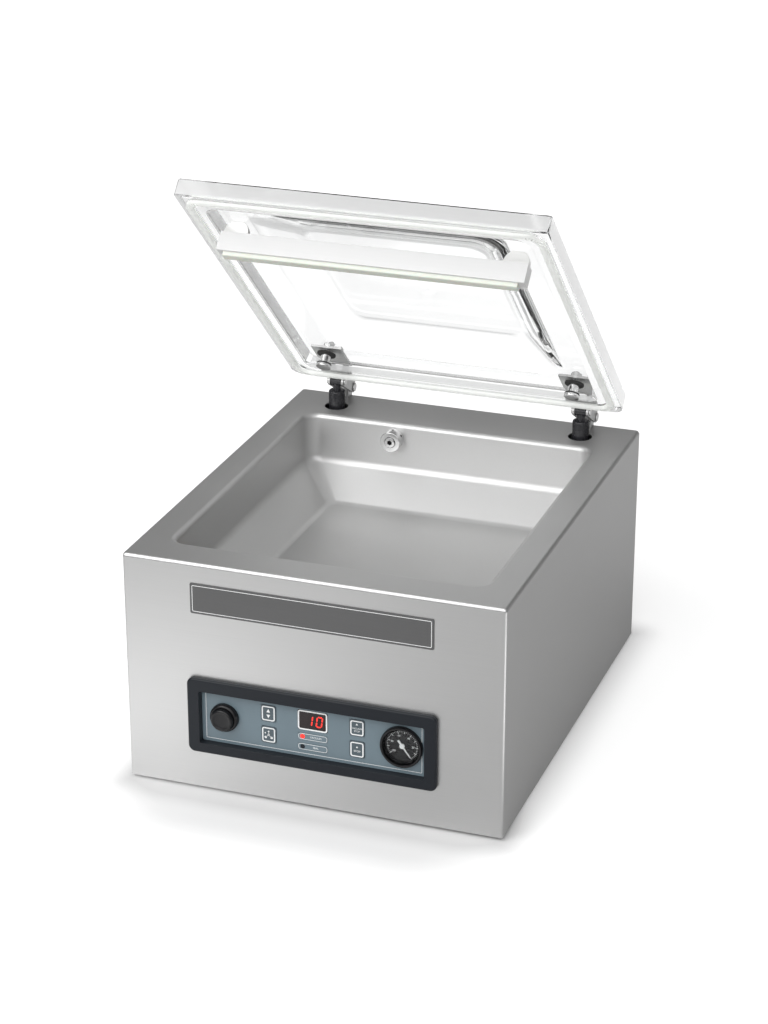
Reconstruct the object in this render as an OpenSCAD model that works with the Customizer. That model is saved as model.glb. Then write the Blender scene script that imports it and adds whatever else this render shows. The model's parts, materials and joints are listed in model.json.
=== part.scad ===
// Table-top chamber vacuum packing machine with its clear lid open.
// Millimetres. X to the right, Y to the rear, Z up; the origin is on the table under the casing's middle.

/* [Casing] */
// Width of the casing
body_w = 450; // [430:1:500]
// Depth of the casing, front to rear
body_d = 560; // [540:1:620]
// Height of the deck above the table
deck_z = 284; // [280:1:320]
// Thickness of the casing sheets
sheet = 1.5; // [1:0.1:2]
// Outer radius of the casing's upright bends
bend_r = 3; // [2.5:0.5:6]
// Radius of the deck's rolled edge
deck_edge_r = 4; // [3:0.5:6]
// Depth of the deck's skirt inside the casing
deck_skirt = 14; // [10:1:20]
// Height of the tray's upturned edge
tray_edge = 20; // [12:1:30]
// Width of the casing's return flanges at the rear
return_w = 16; // [12:1:22]
// Thickness of the rubber feet
foot_h = 4; // [3:0.5:8]
// Diameter of the rubber feet
foot_d = 34; // [24:1:44]
// Distance from the casing's sides to a foot's middle
foot_inset = 36; // [28:1:60]
// Clearance between pieces that slip together
fit = 0.3; // [0.2:0.05:0.5]

/* [Chamber] */
// Thickness of the deck and chamber sheet
deck_t = 2; // [1.5:0.1:2.5]
// Casing side to chamber wall
side_margin = 39; // [38:0.5:48]
// Casing front to chamber wall
front_margin = 48; // [46:0.5:56]
// Casing rear to chamber wall
rear_margin = 81; // [80:0.5:90]
// Depth of the chamber
chamber_h = 100; // [92:1:106]
// Depth of the chamber's upright walls
wall_h = 61; // [56:1:66]
// How far the side and rear slopes reach in
slope_in = 44; // [36:1:52]
// How far the front slope reaches in
front_slope_in = 20; // [14:1:26]
// Radius of the rim where the deck turns down
rim_r = 6; // [4:0.5:7]
// Corner radius of the chamber walls
chamber_r = 18; // [14:1:26]
// Corner radius of the chamber floor
floor_r = 12; // [10:1:18]
// Radius of the bends in the chamber walls
chamber_fillet = 12; // [8:1:14]

/* [Suction port] */
// Sideways place of the port, from the middle to the left
port_x = 71; // [50:1:100]
// Depth of the port's middle below the deck
port_drop = 20; // [19:0.5:26]
// Diameter of the port's head
port_d = 26; // [22:0.5:26]
// Length of the port's head inside the chamber
port_l = 16; // [12:0.5:18]
// Diameter of the port's neck through the wall
port_neck_d = 12; // [11:0.5:14]
// Diameter of the port's socket screw head
port_screw_d = 13; // [10:0.5:16]

/* [Lid] */
// Opening angle of the lid
lid_open = 43; // [35:1:48]
// How far the lid reaches past the chamber walls at the sides
lid_side_lap = 31; // [30:0.5:36]
// How far the lid reaches past the chamber's front wall
lid_front_lap = 34; // [32:0.5:42]
// How far the lid reaches past the chamber's rear wall
lid_rear_lap = 25; // [24:0.5:27]
// Height of the lid's edge
lid_edge_h = 22; // [20:0.5:26]
// Gap between the deck and the closed lid
lid_gap = 4; // [3:0.25:5]
// Width of the lid's sealing rim
lid_rim = 27; // [25:0.5:29]
// Height of the recess inside the rim
recess_h = 12; // [11:0.5:14]
// How far the recess walls lean in
recess_draft = 6; // [3:0.5:7]
// Inner height of the raised middle
dome_h = 32; // [26:1:40]
// Thickness of the raised middle
dome_t = 12; // [9:0.5:15]
// Lid edge to the foot of the raised middle, at the sides
dome_side = 72; // [70:1:80]
// Lid edge to the foot of the raised middle, at the rear
dome_rear = 69; // [68:1:80]
// Lid edge to the foot of the raised middle, at the front
dome_front = 53; // [48:1:60]
// Run of the raised middle's slopes at the sides
dome_side_run = 33; // [28:1:40]
// Run of the raised middle's rear slope
dome_rear_run = 56; // [46:1:66]
// Run of the raised middle's front slope
dome_front_run = 66; // [56:1:76]
// Radius of the lid's rear corners
lid_rear_r = 14; // [10:1:18]
// Radius of the lid's front corners
lid_front_r = 3; // [2:0.5:6]
// Lid edge to the gasket
gasket_edge = 7.5; // [6:0.25:8]
// Width of the gasket
gasket_w = 9; // [7:0.25:9.5]
// How deep the gasket sits in the lid
gasket_deep = 6; // [5:0.25:7]

/* [Hinges and gas springs] */
// Lid side to a hinge
hinge_inset = 56; // [52:1:59]
// Lid rear edge to the hinge pivot
pivot_back = 46; // [44:0.5:46]
// Height of the hinge pivot above the deck
pivot_up = 14; // [13:0.5:16]
// Diameter of the hinge pins
hinge_pin_d = 8; // [6:0.5:9]
// Radius of the brackets' ears round the pivot
ear_r = 7; // [6.5:0.25:8]
// Thickness of the brackets
bracket_t = 3; // [2:0.25:4]
// Width of the brackets' plates
bracket_w = 40; // [36:1:42]
// Length of the brackets' plates on the lid
bracket_l = 60; // [60:0.5:61]
// Pivot to spring pin, rearwards, with the lid closed
eye_back = 37.8; // [37:0.1:38]
// Pivot to spring pin, downwards, with the lid closed
eye_drop = 9.3; // [8:0.1:9.5]
// Width of the gas springs' eyes
eye_w = 14; // [12:0.5:14.5]
// Outer radius of the gas springs' eyes
eye_r = 6; // [5.5:0.25:6]
// Diameter of the spring pins
spring_pin_d = 6; // [5:0.5:7]
// Diameter of the gas spring tubes
spring_d = 21; // [19:0.5:21]
// Wall of the gas spring tubes
spring_wall = 2; // [1:0.25:2]
// Length of the gas spring tubes
spring_l = 160; // [140:1:180]
// Diameter of the holes in the deck for the gas springs
spring_hole_d = 30; // [29:0.5:32]
// Diameter of the gas spring rods
spring_rod_d = 8; // [6:0.5:8]
// Radial clearance of a pin that turns
run_fit = 0.05; // [0.03:0.01:0.09]

/* [Lid bolts] */
// Lid rear edge to a bolt
bolt_along = 51; // [50:0.5:52]
// Diameter of the bolts
bolt_d = 8; // [6:0.5:10]
// Diameter of the bolts' sleeves
sleeve_d = 13; // [11.5:0.5:15]
// Diameter of the bolts' heads
bolt_head_d = 19; // [16:0.5:22]
// Thickness of the bolts' heads
bolt_head_t = 4; // [3:0.5:6]
// How far the bolts reach below the lid's rim
bolt_reach = 7.4; // [5:0.2:9]
// Diameter of the washers on the bolts
washer_d = 24; // [20:0.5:26]
// Thickness of the washers on the bolts
washer_t = 2; // [1.5:0.25:3]

/* [Sealing] */
// Chamber front wall to the sealing line
seal_inset = 47; // [44:0.5:54]
// Chamber wall to the end of the counter bar
bar_gap = 4.4; // [4:0.2:8]
// Height of the counter bar
bar_h = 23.6; // [20:0.2:26]
// Width of the counter bar
bar_w = 18; // [14:0.5:22]
// How far the counter bar hangs below the lid's rim
bar_drop = 3.6; // [3:0.2:5]
// Height of the silicone strip
strip_h = 5; // [3:0.25:6]
// Width of the silicone strip
strip_w = 12; // [8:0.5:13]
// Counter bar end to the end of the silicone strip
strip_end = 8; // [4:0.5:12]
// Radius of the counter bar holders
holder_r = 15; // [13.6:0.2:16]
// Thickness of the counter bar holders
holder_t = 8; // [5:0.5:12]
// Counter bar end to the middle of a holder
holder_end = 16; // [16:0.5:22]
// Height of the seal bar's profile
seal_h = 20; // [14:0.5:24]
// Width of the seal bar's profile
seal_w = 20; // [18:0.5:24]
// Counter bar end to the end of the seal bar
seal_end = 6.6; // [4:0.2:12]
// Gap between the seal bar and the strip, bar down and lid closed
seal_rest = 6; // [6:0.25:8]
// Width of a sealing wire
wire_w = 2.5; // [2:0.25:4]
// Thickness of a sealing wire
wire_t = 0.5; // [0.4:0.1:0.8]
// Thickness of the tape over the wires
tape_t = 0.8; // [0.5:0.1:1.2]
// Seal bar end to a lift piston
piston_end = 65; // [45:1:85]
// Diameter of the lift pistons' rods
piston_d = 12; // [10:0.5:14]
// Diameter of the lift cylinders
lift_d = 56; // [50:1:60]
// Height of the lift cylinders
lift_h = 48; // [44:1:52]

/* [Front] */
// Height of the control panel's middle above the table
panel_z = 97; // [92:1:110]
// Width of the bezel
bezel_w = 298; // [292:1:310]
// Height of the bezel
bezel_h = 93; // [86:1:98]
// How far the bezel stands proud of the casing
bezel_proud = 6; // [4:0.5:8]
// Corner radius of the bezel
bezel_r = 8; // [5:0.5:10]
// Width of the bezel's window
window_w = 269; // [264:1:272]
// Height of the bezel's window
window_h = 65; // [63:1:70]
// Depth of the panel plate behind the bezel's front
panel_deep = 9; // [8:0.5:10]
// Thickness of the panel plate
panel_t = 2; // [1.5:0.25:3]
// Middle of the panel to the push button and to the gauge
dial_x = 106; // [104:0.5:107]
// Diameter of the push button's collar
collar_d = 34; // [30:0.5:36]
// How far the collar stands proud of the plate
collar_proud = 7; // [6:0.5:9]
// Diameter of the push button
button_d = 26.6; // [22:0.2:27]
// Travel of the push button
button_travel = 4; // [3:0.5:4.5]
// Diameter of the gauge's rim
gauge_d = 50; // [46:0.5:52]
// How far the gauge's rim stands proud of the plate
gauge_proud = 6; // [5.5:0.5:8]
// Middle of the panel to the keys
key_x = 53; // [50:0.5:54]
// Middle of the panel to the keys, up or down
key_z = 13.4; // [12.5:0.1:14]
// Width of a key
key_w = 18; // [15:0.5:19]
// Height of a key
key_h = 20.5; // [17:0.5:21]
// How far a key stands proud of the plate
key_proud = 0.9; // [0.9:0.1:1.2]
// Travel of a key
key_travel = 0.8; // [0.5:0.1:0.8]
// Width of the display and of the lamp bars
display_w = 35.5; // [30:0.5:38]
// Height of the display
display_h = 24.5; // [20:0.5:26]
// Height of the display's middle above the panel's
display_up = 12.5; // [11:0.5:13]
// Height of a lamp bar
lamp_h = 8.5; // [6:0.5:8.5]
// Width of the name plate
name_w = 287; // [260:1:300]
// Height of the name plate
name_h = 37; // [30:1:42]
// Depth of the name plate's middle below the deck
name_drop = 43; // [38:1:50]

/* [Pump and motor] */
// Height of the rubber mounts under the pump
mount_h = 10; // [8:1:12]
// Middle of the casing to the pump's left face
pump_left = 130; // [120:1:140]
// Length of the pump housing
pump_l = 110; // [96:1:120]
// Width of the pump housing
pump_w = 130; // [118:1:140]
// Height of the pump housing
pump_h = 112; // [108:1:114]
// Place of the pump's shaft behind the casing's middle
pump_y = 40; // [30:1:46]
// Height of the shaft above the pump's underside
shaft_up = 66; // [64:1:68]
// Radius of the pump's cylinder
pump_bore_r = 42; // [40:0.5:42]
// Radius of the pump's rotor
rotor_r = 33; // [30:0.5:34]
// Diameter of the drive shaft
shaft_d = 14; // [12:0.5:18]
// Length of the motor
motor_l = 132; // [124:1:140]
// Radius of the motor's body
motor_r = 59; // [56:1:61]
// Diameter of the vacuum hose
hose_d = 18; // [17:0.5:20]

/* [Electrics] */
// Middle to the mains inlet
inlet_x = 130; // [110:1:140]
// Height of the mains inlet above the table
inlet_z = 60; // [50:1:80]

/* [Hidden] */
$fn = 48;

// Steps in a quarter turn of a lofted corner and in a lofted bend
corner_steps = 6;
bend_steps = 4;
// A cut runs this far past the face that it opens
past = 1;

// Casing
half_w = body_w / 2;
front_y = -body_d / 2;
rear_y = body_d / 2;
tray_top = foot_h + sheet;
wrap_top = deck_z - deck_edge_r;
nest = sheet + fit;
sharp = 0.2;
return_z0 = tray_top + tray_edge;
return_z1 = deck_z - deck_skirt - past;
foot_stem_r = 4;
foot_stem_past = 2;
vent_w = 80;
vent_h = 5;
vent_x = 60;
vent_z = 110;
vent_rows = 7;
vent_pitch = 14;
screw_r = 2;
screw_head_r = 4;
screw_head_t = 2.2;
screw_l = 8;
screw_recess_r = 1.6;
screw_recess_deep = 1.2;
screw_end_gap = 20;
screw_x = half_w - sheet - return_w / 2;
screw_pitch = (return_z1 - return_z0) / 2 - screw_end_gap;
screw_rows = [for (row = [0 : 2]) return_z0 + screw_end_gap + row * screw_pitch];

// Chamber
chamber_w = body_w - 2 * side_margin;
chamber_front = front_y + front_margin;
chamber_rear = rear_y - rear_margin;
floor_z = deck_z - chamber_h;
bend_z = deck_z - wall_h;
slope_turn = atan2(slope_in, chamber_h - wall_h);
floor_turn = 90 - slope_turn;
bend_centre = [rim_r + chamber_fillet, bend_z + chamber_fillet * tan(slope_turn / 2)];
floor_centre = [rim_r + slope_in + chamber_fillet * tan(floor_turn / 2), floor_z + chamber_fillet];
rim_centre = [0, deck_z - rim_r];

// Suction port
port_z = deck_z - port_drop;
port_nipple_r = port_neck_d / 2;
port_nipple_l = 14;
port_nut_r = port_nipple_r + 4;
port_nut_t = 5;
port_screw_deep = 4;
port_screw_proud = 1;
port_bore_deep = 8;
port_bore_r = port_nipple_r - 2;
port_hole_r = 1.8;
port_hole_deep = 11;
port_socket_r = 3.4;
port_socket_deep = 3;

// Lid, drawn closed
lid_w = chamber_w + 2 * lid_side_lap;
lid_front = chamber_front - lid_front_lap;
lid_rear = chamber_rear + lid_rear_lap;
lid_z = deck_z + lid_gap;
lid_top = lid_z + lid_edge_h;
ceiling_z = lid_z + recess_h;
lid_chamfer = 1.2;
dome_wall = 5;
ceiling_in = lid_rim + recess_draft;
dome_foot_r = 30;
dome_top_r = 20;
recess_r = 16;
gasket_corner = recess_r + 8;
pivot_y = lid_rear + pivot_back;
pivot_z = deck_z + pivot_up;
gasket_proud = lid_gap - fit;

// Hinges and gas springs
hinge_x = lid_w / 2 - hinge_inset;
eye_closed = [pivot_y - eye_back, pivot_z - eye_drop];
eye_open = swing(eye_closed);
spring_rod_y = pivot_y - (norm([eye_back, eye_drop]) + pivot_y - eye_open[0]) / 2;
cheek_play = 0.5;
cheek_in = eye_w / 2 + cheek_play;
cheek_out = cheek_in + bracket_t;
cheek_rise = 4;
cheek_on_lid = 28;
cheek_knee = 12;
ear_turn = 50;
lug_w = eye_w - 2;
lug_r = ear_r - 0.5;
lug_front = 11;
lug_rear = rear_y - deck_edge_r - 0.5;
pin_head_t = 1.5;
pin_head_lip = 1.5;
neck_r = 5;

// With the lid open the tubes end under the slanting lower edge of the brackets' cheeks
tube_clear = 0.6;
tube_over = sqrt(max(pow(spring_d / 2, 2) - pow(cheek_in, 2), 0));
cheek_foot = swing([eye_closed[0], eye_closed[1] - eye_r]);
cheek_heel = swing([pivot_y, pivot_z - ear_r]);
cheek_fall = (cheek_foot[1] - cheek_heel[1]) / (cheek_heel[0] - cheek_foot[0]);
cheek_under = cheek_foot[1] - cheek_fall * (eye_open[0] + tube_over - cheek_foot[0]);
neck_l = eye_open[1] - cheek_under + tube_clear;
tube_top = eye_open[1] - neck_l;
gland_t = 5;
rod_sway = norm([eye_back, eye_drop]) - pivot_y + spring_rod_y;
rod_in = 40;
rod_top = tube_top - spring_l + rod_in;
spring_piston_l = 10;
rod_foot_r = 14;
rod_foot_t = 4;
spring_piston_r = spring_d / 2 - spring_wall - rod_sway - fit;
bolt_y = lid_rear - bolt_along;
nut_d = 14;
nut_t = 6;
bolt_past = 2;
gland_gap = 0.5;

// Sealing
seal_y = chamber_front + seal_inset;
bar_l = chamber_w - 2 * bar_gap;
bar_top = lid_z - bar_drop;
bar_bottom = bar_top - bar_h;
strip_bottom = bar_bottom - strip_h;
tape_top = strip_bottom - seal_rest;
seal_top = tape_top - tape_t - wire_t;
seal_bottom = seal_top - seal_h;
seal_l = bar_l - 2 * seal_end;
piston_x = seal_l / 2 - piston_end;
wire_y = seal_w / 5;
seal_groove = 2;
holder_flat = 1.5;
guide_r = piston_d / 2 + 5;
guide_flange_r = guide_r + 5;
guide_flange_t = 4;
guide_deep = 14;
lift_wall = 4;
lift_top = floor_z - deck_t;
piston_disc_t = 6;
piston_room = 8;
piston_z0 = lift_top - lift_h + lift_wall + piston_room;

// Front
bezel_front = front_y - bezel_proud;
panel_face = bezel_front + panel_deep;
panel_back = panel_face + panel_t;
window_drop = 1.5;
window_r = 2;
cut_r = 1;
display_r = 2;
lamp_r = 3;
sleeve_t = 2;
lip = 4;
lip_t = 3;
post_x = 72;
post_z = 23;
post_r = 3;
board_gap = 11.4;
board_front = panel_back + board_gap;
board_t = 1.6;
board_w = 160;
board_h = 54;
flange = 1.2;
key_corner = 2.5;
key_names = ["cursor_key", "program_key", "vacuum_key", "stop_key"];
key_places = [[-key_x, key_z], [-key_x, -key_z], [key_x, key_z], [key_x, -key_z]];
tact_side = 7;
lens_proud = 0.4;
lamp_places = [-8.2, -21];
name_t = 1;
name_r = 2;
barrel_r = 11;
barrel_l = 15;
stem_r = 6;
stem_past = 3;
stem_room = 1;
collar_floor = 1.5;
button_out = 6;
block_l = 30;
block_side = 34;
gauge_wall = 3;
gauge_step = 2;
gauge_body_r = gauge_d / 2 - gauge_wall;
gauge_l = 26;
gauge_nipple_l = 12;
dial_r = gauge_d / 2 - gauge_wall - gauge_step;
glass_t = 1.5;
glass_deep = 2.5;
dial_deep = 7;
dial_t = 1;
needle_t = 1;
needle_w = 2.4;
needle_tip = 0.6;
needle_tail = 8;
needle_reach = dial_r - 4;
hub_r = 3;
hub_proud = 0.6;
needle_spindle_r = 1.5;
spindle_past = 4;
needle_rest = -54;

// Pump and motor
pump_x0 = -pump_left;
pump_x1 = pump_x0 + pump_l;
pump_z0 = tray_top + mount_h;
pump_top = pump_z0 + pump_h;
shaft_z = pump_z0 + shaft_up;
bore_z = shaft_z - (pump_bore_r - rotor_r - 1);
pump_wall = 14;
end_cover_t = 10;
end_cover_inset = 4;
end_cover_r = 10;
bearing_deep = 8;
bearing_r = shaft_d / 2 + run_fit;
rotor_play = 0.5;
rotor_x0 = pump_x0 + rotor_play;
rotor_x1 = pump_x1 - pump_wall - rotor_play;
vane_count = 3;
vane_t = 4;
vane_h = 18;
motor_x1 = pump_x1 + motor_l;
motor_wall = 8;
core_wall = 14;
core_r = motor_r - core_wall;
core_l = 80;
core_gap = 4;
foot_l = 70;
foot_w = 76;
fan_gap = 8;
fan_l = 16;
fan_blades = 7;
fan_hub_r = shaft_d / 2 + 8;
blade_t = 2.4;
fan_r = motor_r - 9;
cowl_l = 34;
cowl_t = 1.5;
cowl_rows = 3;
cowl_pitch = 12;
cowl_slot_w = 68;
mount_r = 11;
mount_inset = 15;
filter_w = 55;
filter_h = 70;
filter_r = 12;
filter_drop = 17;
filter_inset = 8;
hose_bend = 25;
hose_wall = 2.4;
hose_gap = 6;
hose_z = floor_z - deck_t - hose_gap - hose_d / 2;
hose_grip = 8;
hose_start = chamber_rear + deck_t + port_nipple_l - hose_grip;
hose_inlet_back = 30;
hose_inlet_y = pump_y + hose_inlet_back;
hose_back = rear_y - 2 * hose_bend + 2;
nipple_r = 6;
nipple_l = 8;
nipple_wall = 2;

// Transformer and valves
transformer_side = 85;
transformer_front = 100;
transformer_x = half_w - transformer_side;
transformer_y = front_y + transformer_front;
core_w = 80;
core_d = 36;
core_h = 66;
coil_w = 48;
coil_d = 60;
coil_h = 38;
valve_x = 50;
valve_rear = 100;
valve_y = rear_y - valve_rear;
valve_w = 64;
valve_d = 36;
valve_h = 32;
valve_coil_r = 13;
valve_coil_h = 34;

// Mains inlet
inlet_w = 48;
inlet_corner = 4;
inlet_r = 2;
socket_r = 3;
inlet_h = 30;
inlet_proud = 5;
inlet_body_w = 32;
inlet_body_h = 24;
inlet_body_l = 25;
socket_w = 24;
socket_h = 17;
socket_deep = 20;
blade_l = 13;
blade_w = 2;
blade_h = 4;
blade_places = [[-7, -2], [0, 3], [7, -2]];

// Colours
steel = [0.78, 0.78, 0.77];
dark_plastic = [0.16, 0.17, 0.18];
black = [0.06, 0.06, 0.06];
acrylic = [0.92, 0.95, 0.96, 0.45];
alu = [0.82, 0.82, 0.82];

// Points of an arc round a centre
function arc(centre, r, from, to, steps) =
    [for (i = [0 : steps])
        let (turn = from + (to - from) * i / steps)
        centre + r * [cos(turn), sin(turn)]];

// Outline of a rectangle with its own radius at each corner: front left, front right, rear right, rear left
function round_rect(x0, x1, y0, y1, r) = concat(
    arc([x0 + r[0], y0 + r[0]], r[0], 180, 270, corner_steps),
    arc([x1 - r[1], y0 + r[1]], r[1], 270, 360, corner_steps),
    arc([x1 - r[2], y1 - r[2]], r[2], 0, 90, corner_steps),
    arc([x0 + r[3], y1 - r[3]], r[3], 90, 180, corner_steps));

function even(r) = [r, r, r, r];

function at_height(outline, z) = [for (p = outline) [p[0], p[1], z]];

// Where a point of the closed lid, given as [y, z], comes to with the lid open
function swing(p) = [
    pivot_y + (p[0] - pivot_y) * cos(lid_open) + (p[1] - pivot_z) * sin(lid_open),
    pivot_z - (p[0] - pivot_y) * sin(lid_open) + (p[1] - pivot_z) * cos(lid_open)];

// Section of the chamber wall as [inset from the rim, height], its outer face when t is the sheet's thickness
function wall_section(t) = concat(
    arc(floor_centre, chamber_fillet + t, 270, 270 - floor_turn, bend_steps),
    arc(bend_centre, chamber_fillet + t, 180 + slope_turn, 180, bend_steps),
    arc(rim_centre, rim_r - t, 0, 90, bend_steps));

// Ring of the chamber wall at one point of its section
function wall_ring(p) = let (
    slope = max(p[0] - rim_r, 0),
    front_in = min(p[0], rim_r) + slope * front_slope_in / slope_in,
    blend = min(slope / slope_in, 1),
    r = chamber_r + rim_r - min(p[0], rim_r) + blend * (floor_r - chamber_r))
    at_height(round_rect(-chamber_w / 2 - rim_r + p[0], chamber_w / 2 + rim_r - p[0],
        chamber_front - rim_r + front_in, chamber_rear + rim_r - p[0], even(r)), p[1]);

// Ring of the deck, inset all round from the casing's outline
function deck_ring(inset, z) = at_height(round_rect(-half_w + inset, half_w - inset,
    front_y + inset, rear_y - inset, even(max(bend_r - inset, 1))), z);

// Ring of the closed lid, inset from its edges at the sides, front and rear
function lid_ring(side, front, rear, r, up) = at_height(round_rect(-lid_w / 2 + side, lid_w / 2 - side,
    lid_front + front, lid_rear - rear, r), lid_z + up);

lid_corners = [lid_front_r, lid_front_r, lid_rear_r, lid_rear_r];

// Closed solid through rings of points, each with as many points as the first
module loft(rings) {
    n = len(rings[0]);
    last = len(rings) - 1;
    sides = [for (k = [0 : last - 1], i = [0 : n - 1], half = [0, 1])
        half == 0 ? [k * n + i, (k + 1) * n + i, (k + 1) * n + (i + 1) % n]
            : [k * n + i, (k + 1) * n + (i + 1) % n, k * n + (i + 1) % n]];
    floor_face = [[for (i = [0 : n - 1]) i]];
    roof_face = [[for (i = [n - 1 : -1 : 0]) last * n + i]];
    polyhedron(points = [for (ring = rings) each ring], faces = concat(sides, floor_face, roof_face));
}

// Box between two corners
module block(low, high) {
    translate(low) cube(high - low);
}

// Upright plate with rounded corners
module slab(x0, x1, y0, y1, r, z0, z1) {
    translate([0, 0, z0]) linear_extrude(z1 - z0) polygon(round_rect(x0, x1, y0, y1, even(r)));
}

// Drawing in X and Z, drawn out along Y
module along_y(y0, y1) {
    translate([0, y1, 0]) rotate([90, 0, 0]) linear_extrude(y1 - y0) children();
}

// Drawing in Y and Z, drawn out along X
module along_x(x0, x1) {
    translate([x0, 0, 0]) rotate([90, 0, 90]) linear_extrude(x1 - x0) children();
}

// Rounded rectangle in X and Z round a middle, drawn out along Y
module face_block(x, z, w, h, r, y0, y1) {
    along_y(y0, y1) polygon(round_rect(x - w / 2, x + w / 2, z - h / 2, z + h / 2, even(r)));
}

module rod_x(x0, x1, y, z, r) {
    translate([x0, y, z]) rotate([0, 90, 0]) cylinder(h = x1 - x0, r = r);
}

module rod_y(x, z, y0, y1, r) {
    translate([x, y0, z]) rotate([-90, 0, 0]) cylinder(h = y1 - y0, r = r);
}

module rod_z(x, y, z0, z1, r) {
    translate([x, y, z0]) cylinder(h = z1 - z0, r = r);
}

// Turns what is drawn on the closed lid to its open place
module opened() {
    translate([0, pivot_y, pivot_z]) rotate([-lid_open, 0, 0]) translate([0, -pivot_y, -pivot_z]) children();
}

module both_hinges() {
    for (side = [-1, 1]) translate([side * hinge_x, 0, 0]) children();
}

module base_tray() {
    edge = half_w - nest;
    edge_y = body_d / 2 - nest;
    color(steel) difference() {
        block([-edge, -edge_y, foot_h], [edge, edge_y, tray_top + tray_edge - fit]);
        block([sheet - edge, sheet - edge_y, tray_top], [edge - sheet, edge_y - sheet, return_z0 + past]);
        at_feet() rod_z(0, 0, foot_h - past, tray_top + past, foot_stem_r + fit);
    }
}

module at_feet() {
    for (x = [-1, 1], y = [-1, 1])
        translate([x * (half_w - foot_inset), y * (body_d / 2 - foot_inset), 0]) children();
}

module rubber_feet() {
    color(black) at_feet() {
        rod_z(0, 0, 0, foot_h, foot_d / 2);
        rod_z(0, 0, 0, tray_top + foot_stem_past, foot_stem_r);
    }
}

// Front and both sides, bent from one sheet, with return flanges for the rear panel
module casing_wrap() {
    cut_w = window_w + 2 * sleeve_t + 2 * fit;
    cut_h = window_h + 2 * sleeve_t + 2 * fit;
    inner = half_w - sheet;
    back = rear_y - sheet;
    color(steel) difference() {
        union() {
            translate([0, 0, foot_h]) linear_extrude(wrap_top - foot_h) difference() {
                polygon(round_rect(-half_w, half_w, front_y, rear_y, [bend_r, bend_r, sharp, sharp]));
                polygon(round_rect(-inner, inner, front_y + sheet, rear_y + past,
                    [bend_r - sheet, bend_r - sheet, sharp, sharp]));
            }
            for (side = [-1, 1]) translate([side * (inner - return_w / 2), 0, 0])
                block([-return_w / 2, back - sheet, return_z0], [return_w / 2, back, return_z1]);
        }
        face_block(0, panel_z - window_drop, cut_w, cut_h, cut_r, front_y - past, front_y + sheet + past);
        at_rear_screws() rod_y(0, 0, back - sheet - past, back + past, screw_r + run_fit);
    }
}

module at_rear_screws() {
    for (side = [-1, 1], z = screw_rows) translate([side * screw_x, 0, z]) children();
}

module rear_panel() {
    edge = half_w - sheet - fit;
    color(steel) difference() {
        block([-edge, rear_y - sheet, foot_h], [edge, rear_y, wrap_top]);
        at_rear_screws() rod_y(0, 0, rear_y - sheet - past, rear_y + past, screw_r + fit);
        face_block(inlet_x, inlet_z, inlet_body_w + 2 * fit, inlet_body_h + 2 * fit, inlet_r,
            rear_y - sheet - past, rear_y + past);
        for (column = [-1, 1], row = [0 : vent_rows - 1])
            face_block(column * vent_x, vent_z + row * vent_pitch, vent_w, vent_h, vent_h / 2 - 0.1,
                rear_y - sheet - past, rear_y + past);
    }
}

module rear_screws() {
    color(alu) at_rear_screws() difference() {
        union() {
            rod_y(0, 0, rear_y, rear_y + screw_head_t, screw_head_r);
            rod_y(0, 0, rear_y - screw_l, rear_y, screw_r);
        }
        rod_y(0, 0, rear_y + screw_head_t - screw_recess_deep, rear_y + screw_head_t + past, screw_recess_r);
    }
}

// Deck with a rolled edge and the chamber drawn down from it
module deck_chamber() {
    edge_arc = arc([deck_edge_r, deck_z - deck_edge_r], deck_edge_r, 180, 90, bend_steps);
    hollow = nest + deck_t;
    outer = wall_section(deck_t);
    inner = wall_section(0);
    color(steel) difference() {
        union() {
            difference() {
                loft(concat([deck_ring(nest, deck_z - deck_skirt), deck_ring(nest, wrap_top)],
                    [for (p = edge_arc) deck_ring(p[0], p[1])]));
                slab(-half_w + hollow, half_w - hollow, front_y + hollow, rear_y - hollow, 1,
                    deck_z - deck_skirt - past, deck_z - deck_t);
            }
            loft(concat([for (p = outer) wall_ring(p)], [wall_ring([0, deck_z - deck_t / 2])]));
        }
        loft(concat([for (p = inner) wall_ring(p)], [wall_ring([0, deck_z + past])]));
        both_hinges() rod_z(0, spring_rod_y, deck_z - deck_t - past, deck_z + past, spring_hole_d / 2);
        for (side = [-1, 1])
            rod_z(side * piston_x, seal_y, floor_z - deck_t - past, floor_z + past, guide_r + fit);
        rod_y(-port_x, port_z, chamber_rear - past, chamber_rear + deck_t + past, port_neck_d / 2 + fit);
    }
}

module name_plate() {
    color([0.25, 0.26, 0.27])
        face_block(0, deck_z - name_drop, name_w, name_h, name_r, front_y - name_t, front_y);
}

module panel_bezel() {
    z = panel_z - window_drop;
    lip_back = panel_back + lip_t;
    color(dark_plastic) difference() {
        union() {
            face_block(0, panel_z, bezel_w, bezel_h, bezel_r, bezel_front, front_y);
            face_block(0, z, window_w + 2 * sleeve_t, window_h + 2 * sleeve_t, cut_r,
                front_y - past, lip_back);
        }
        face_block(0, z, window_w, window_h, window_r, bezel_front - past, panel_back);
        face_block(0, z, window_w - 2 * lip, window_h - 2 * lip, window_r,
            panel_back - past, lip_back + past);
    }
}

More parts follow.
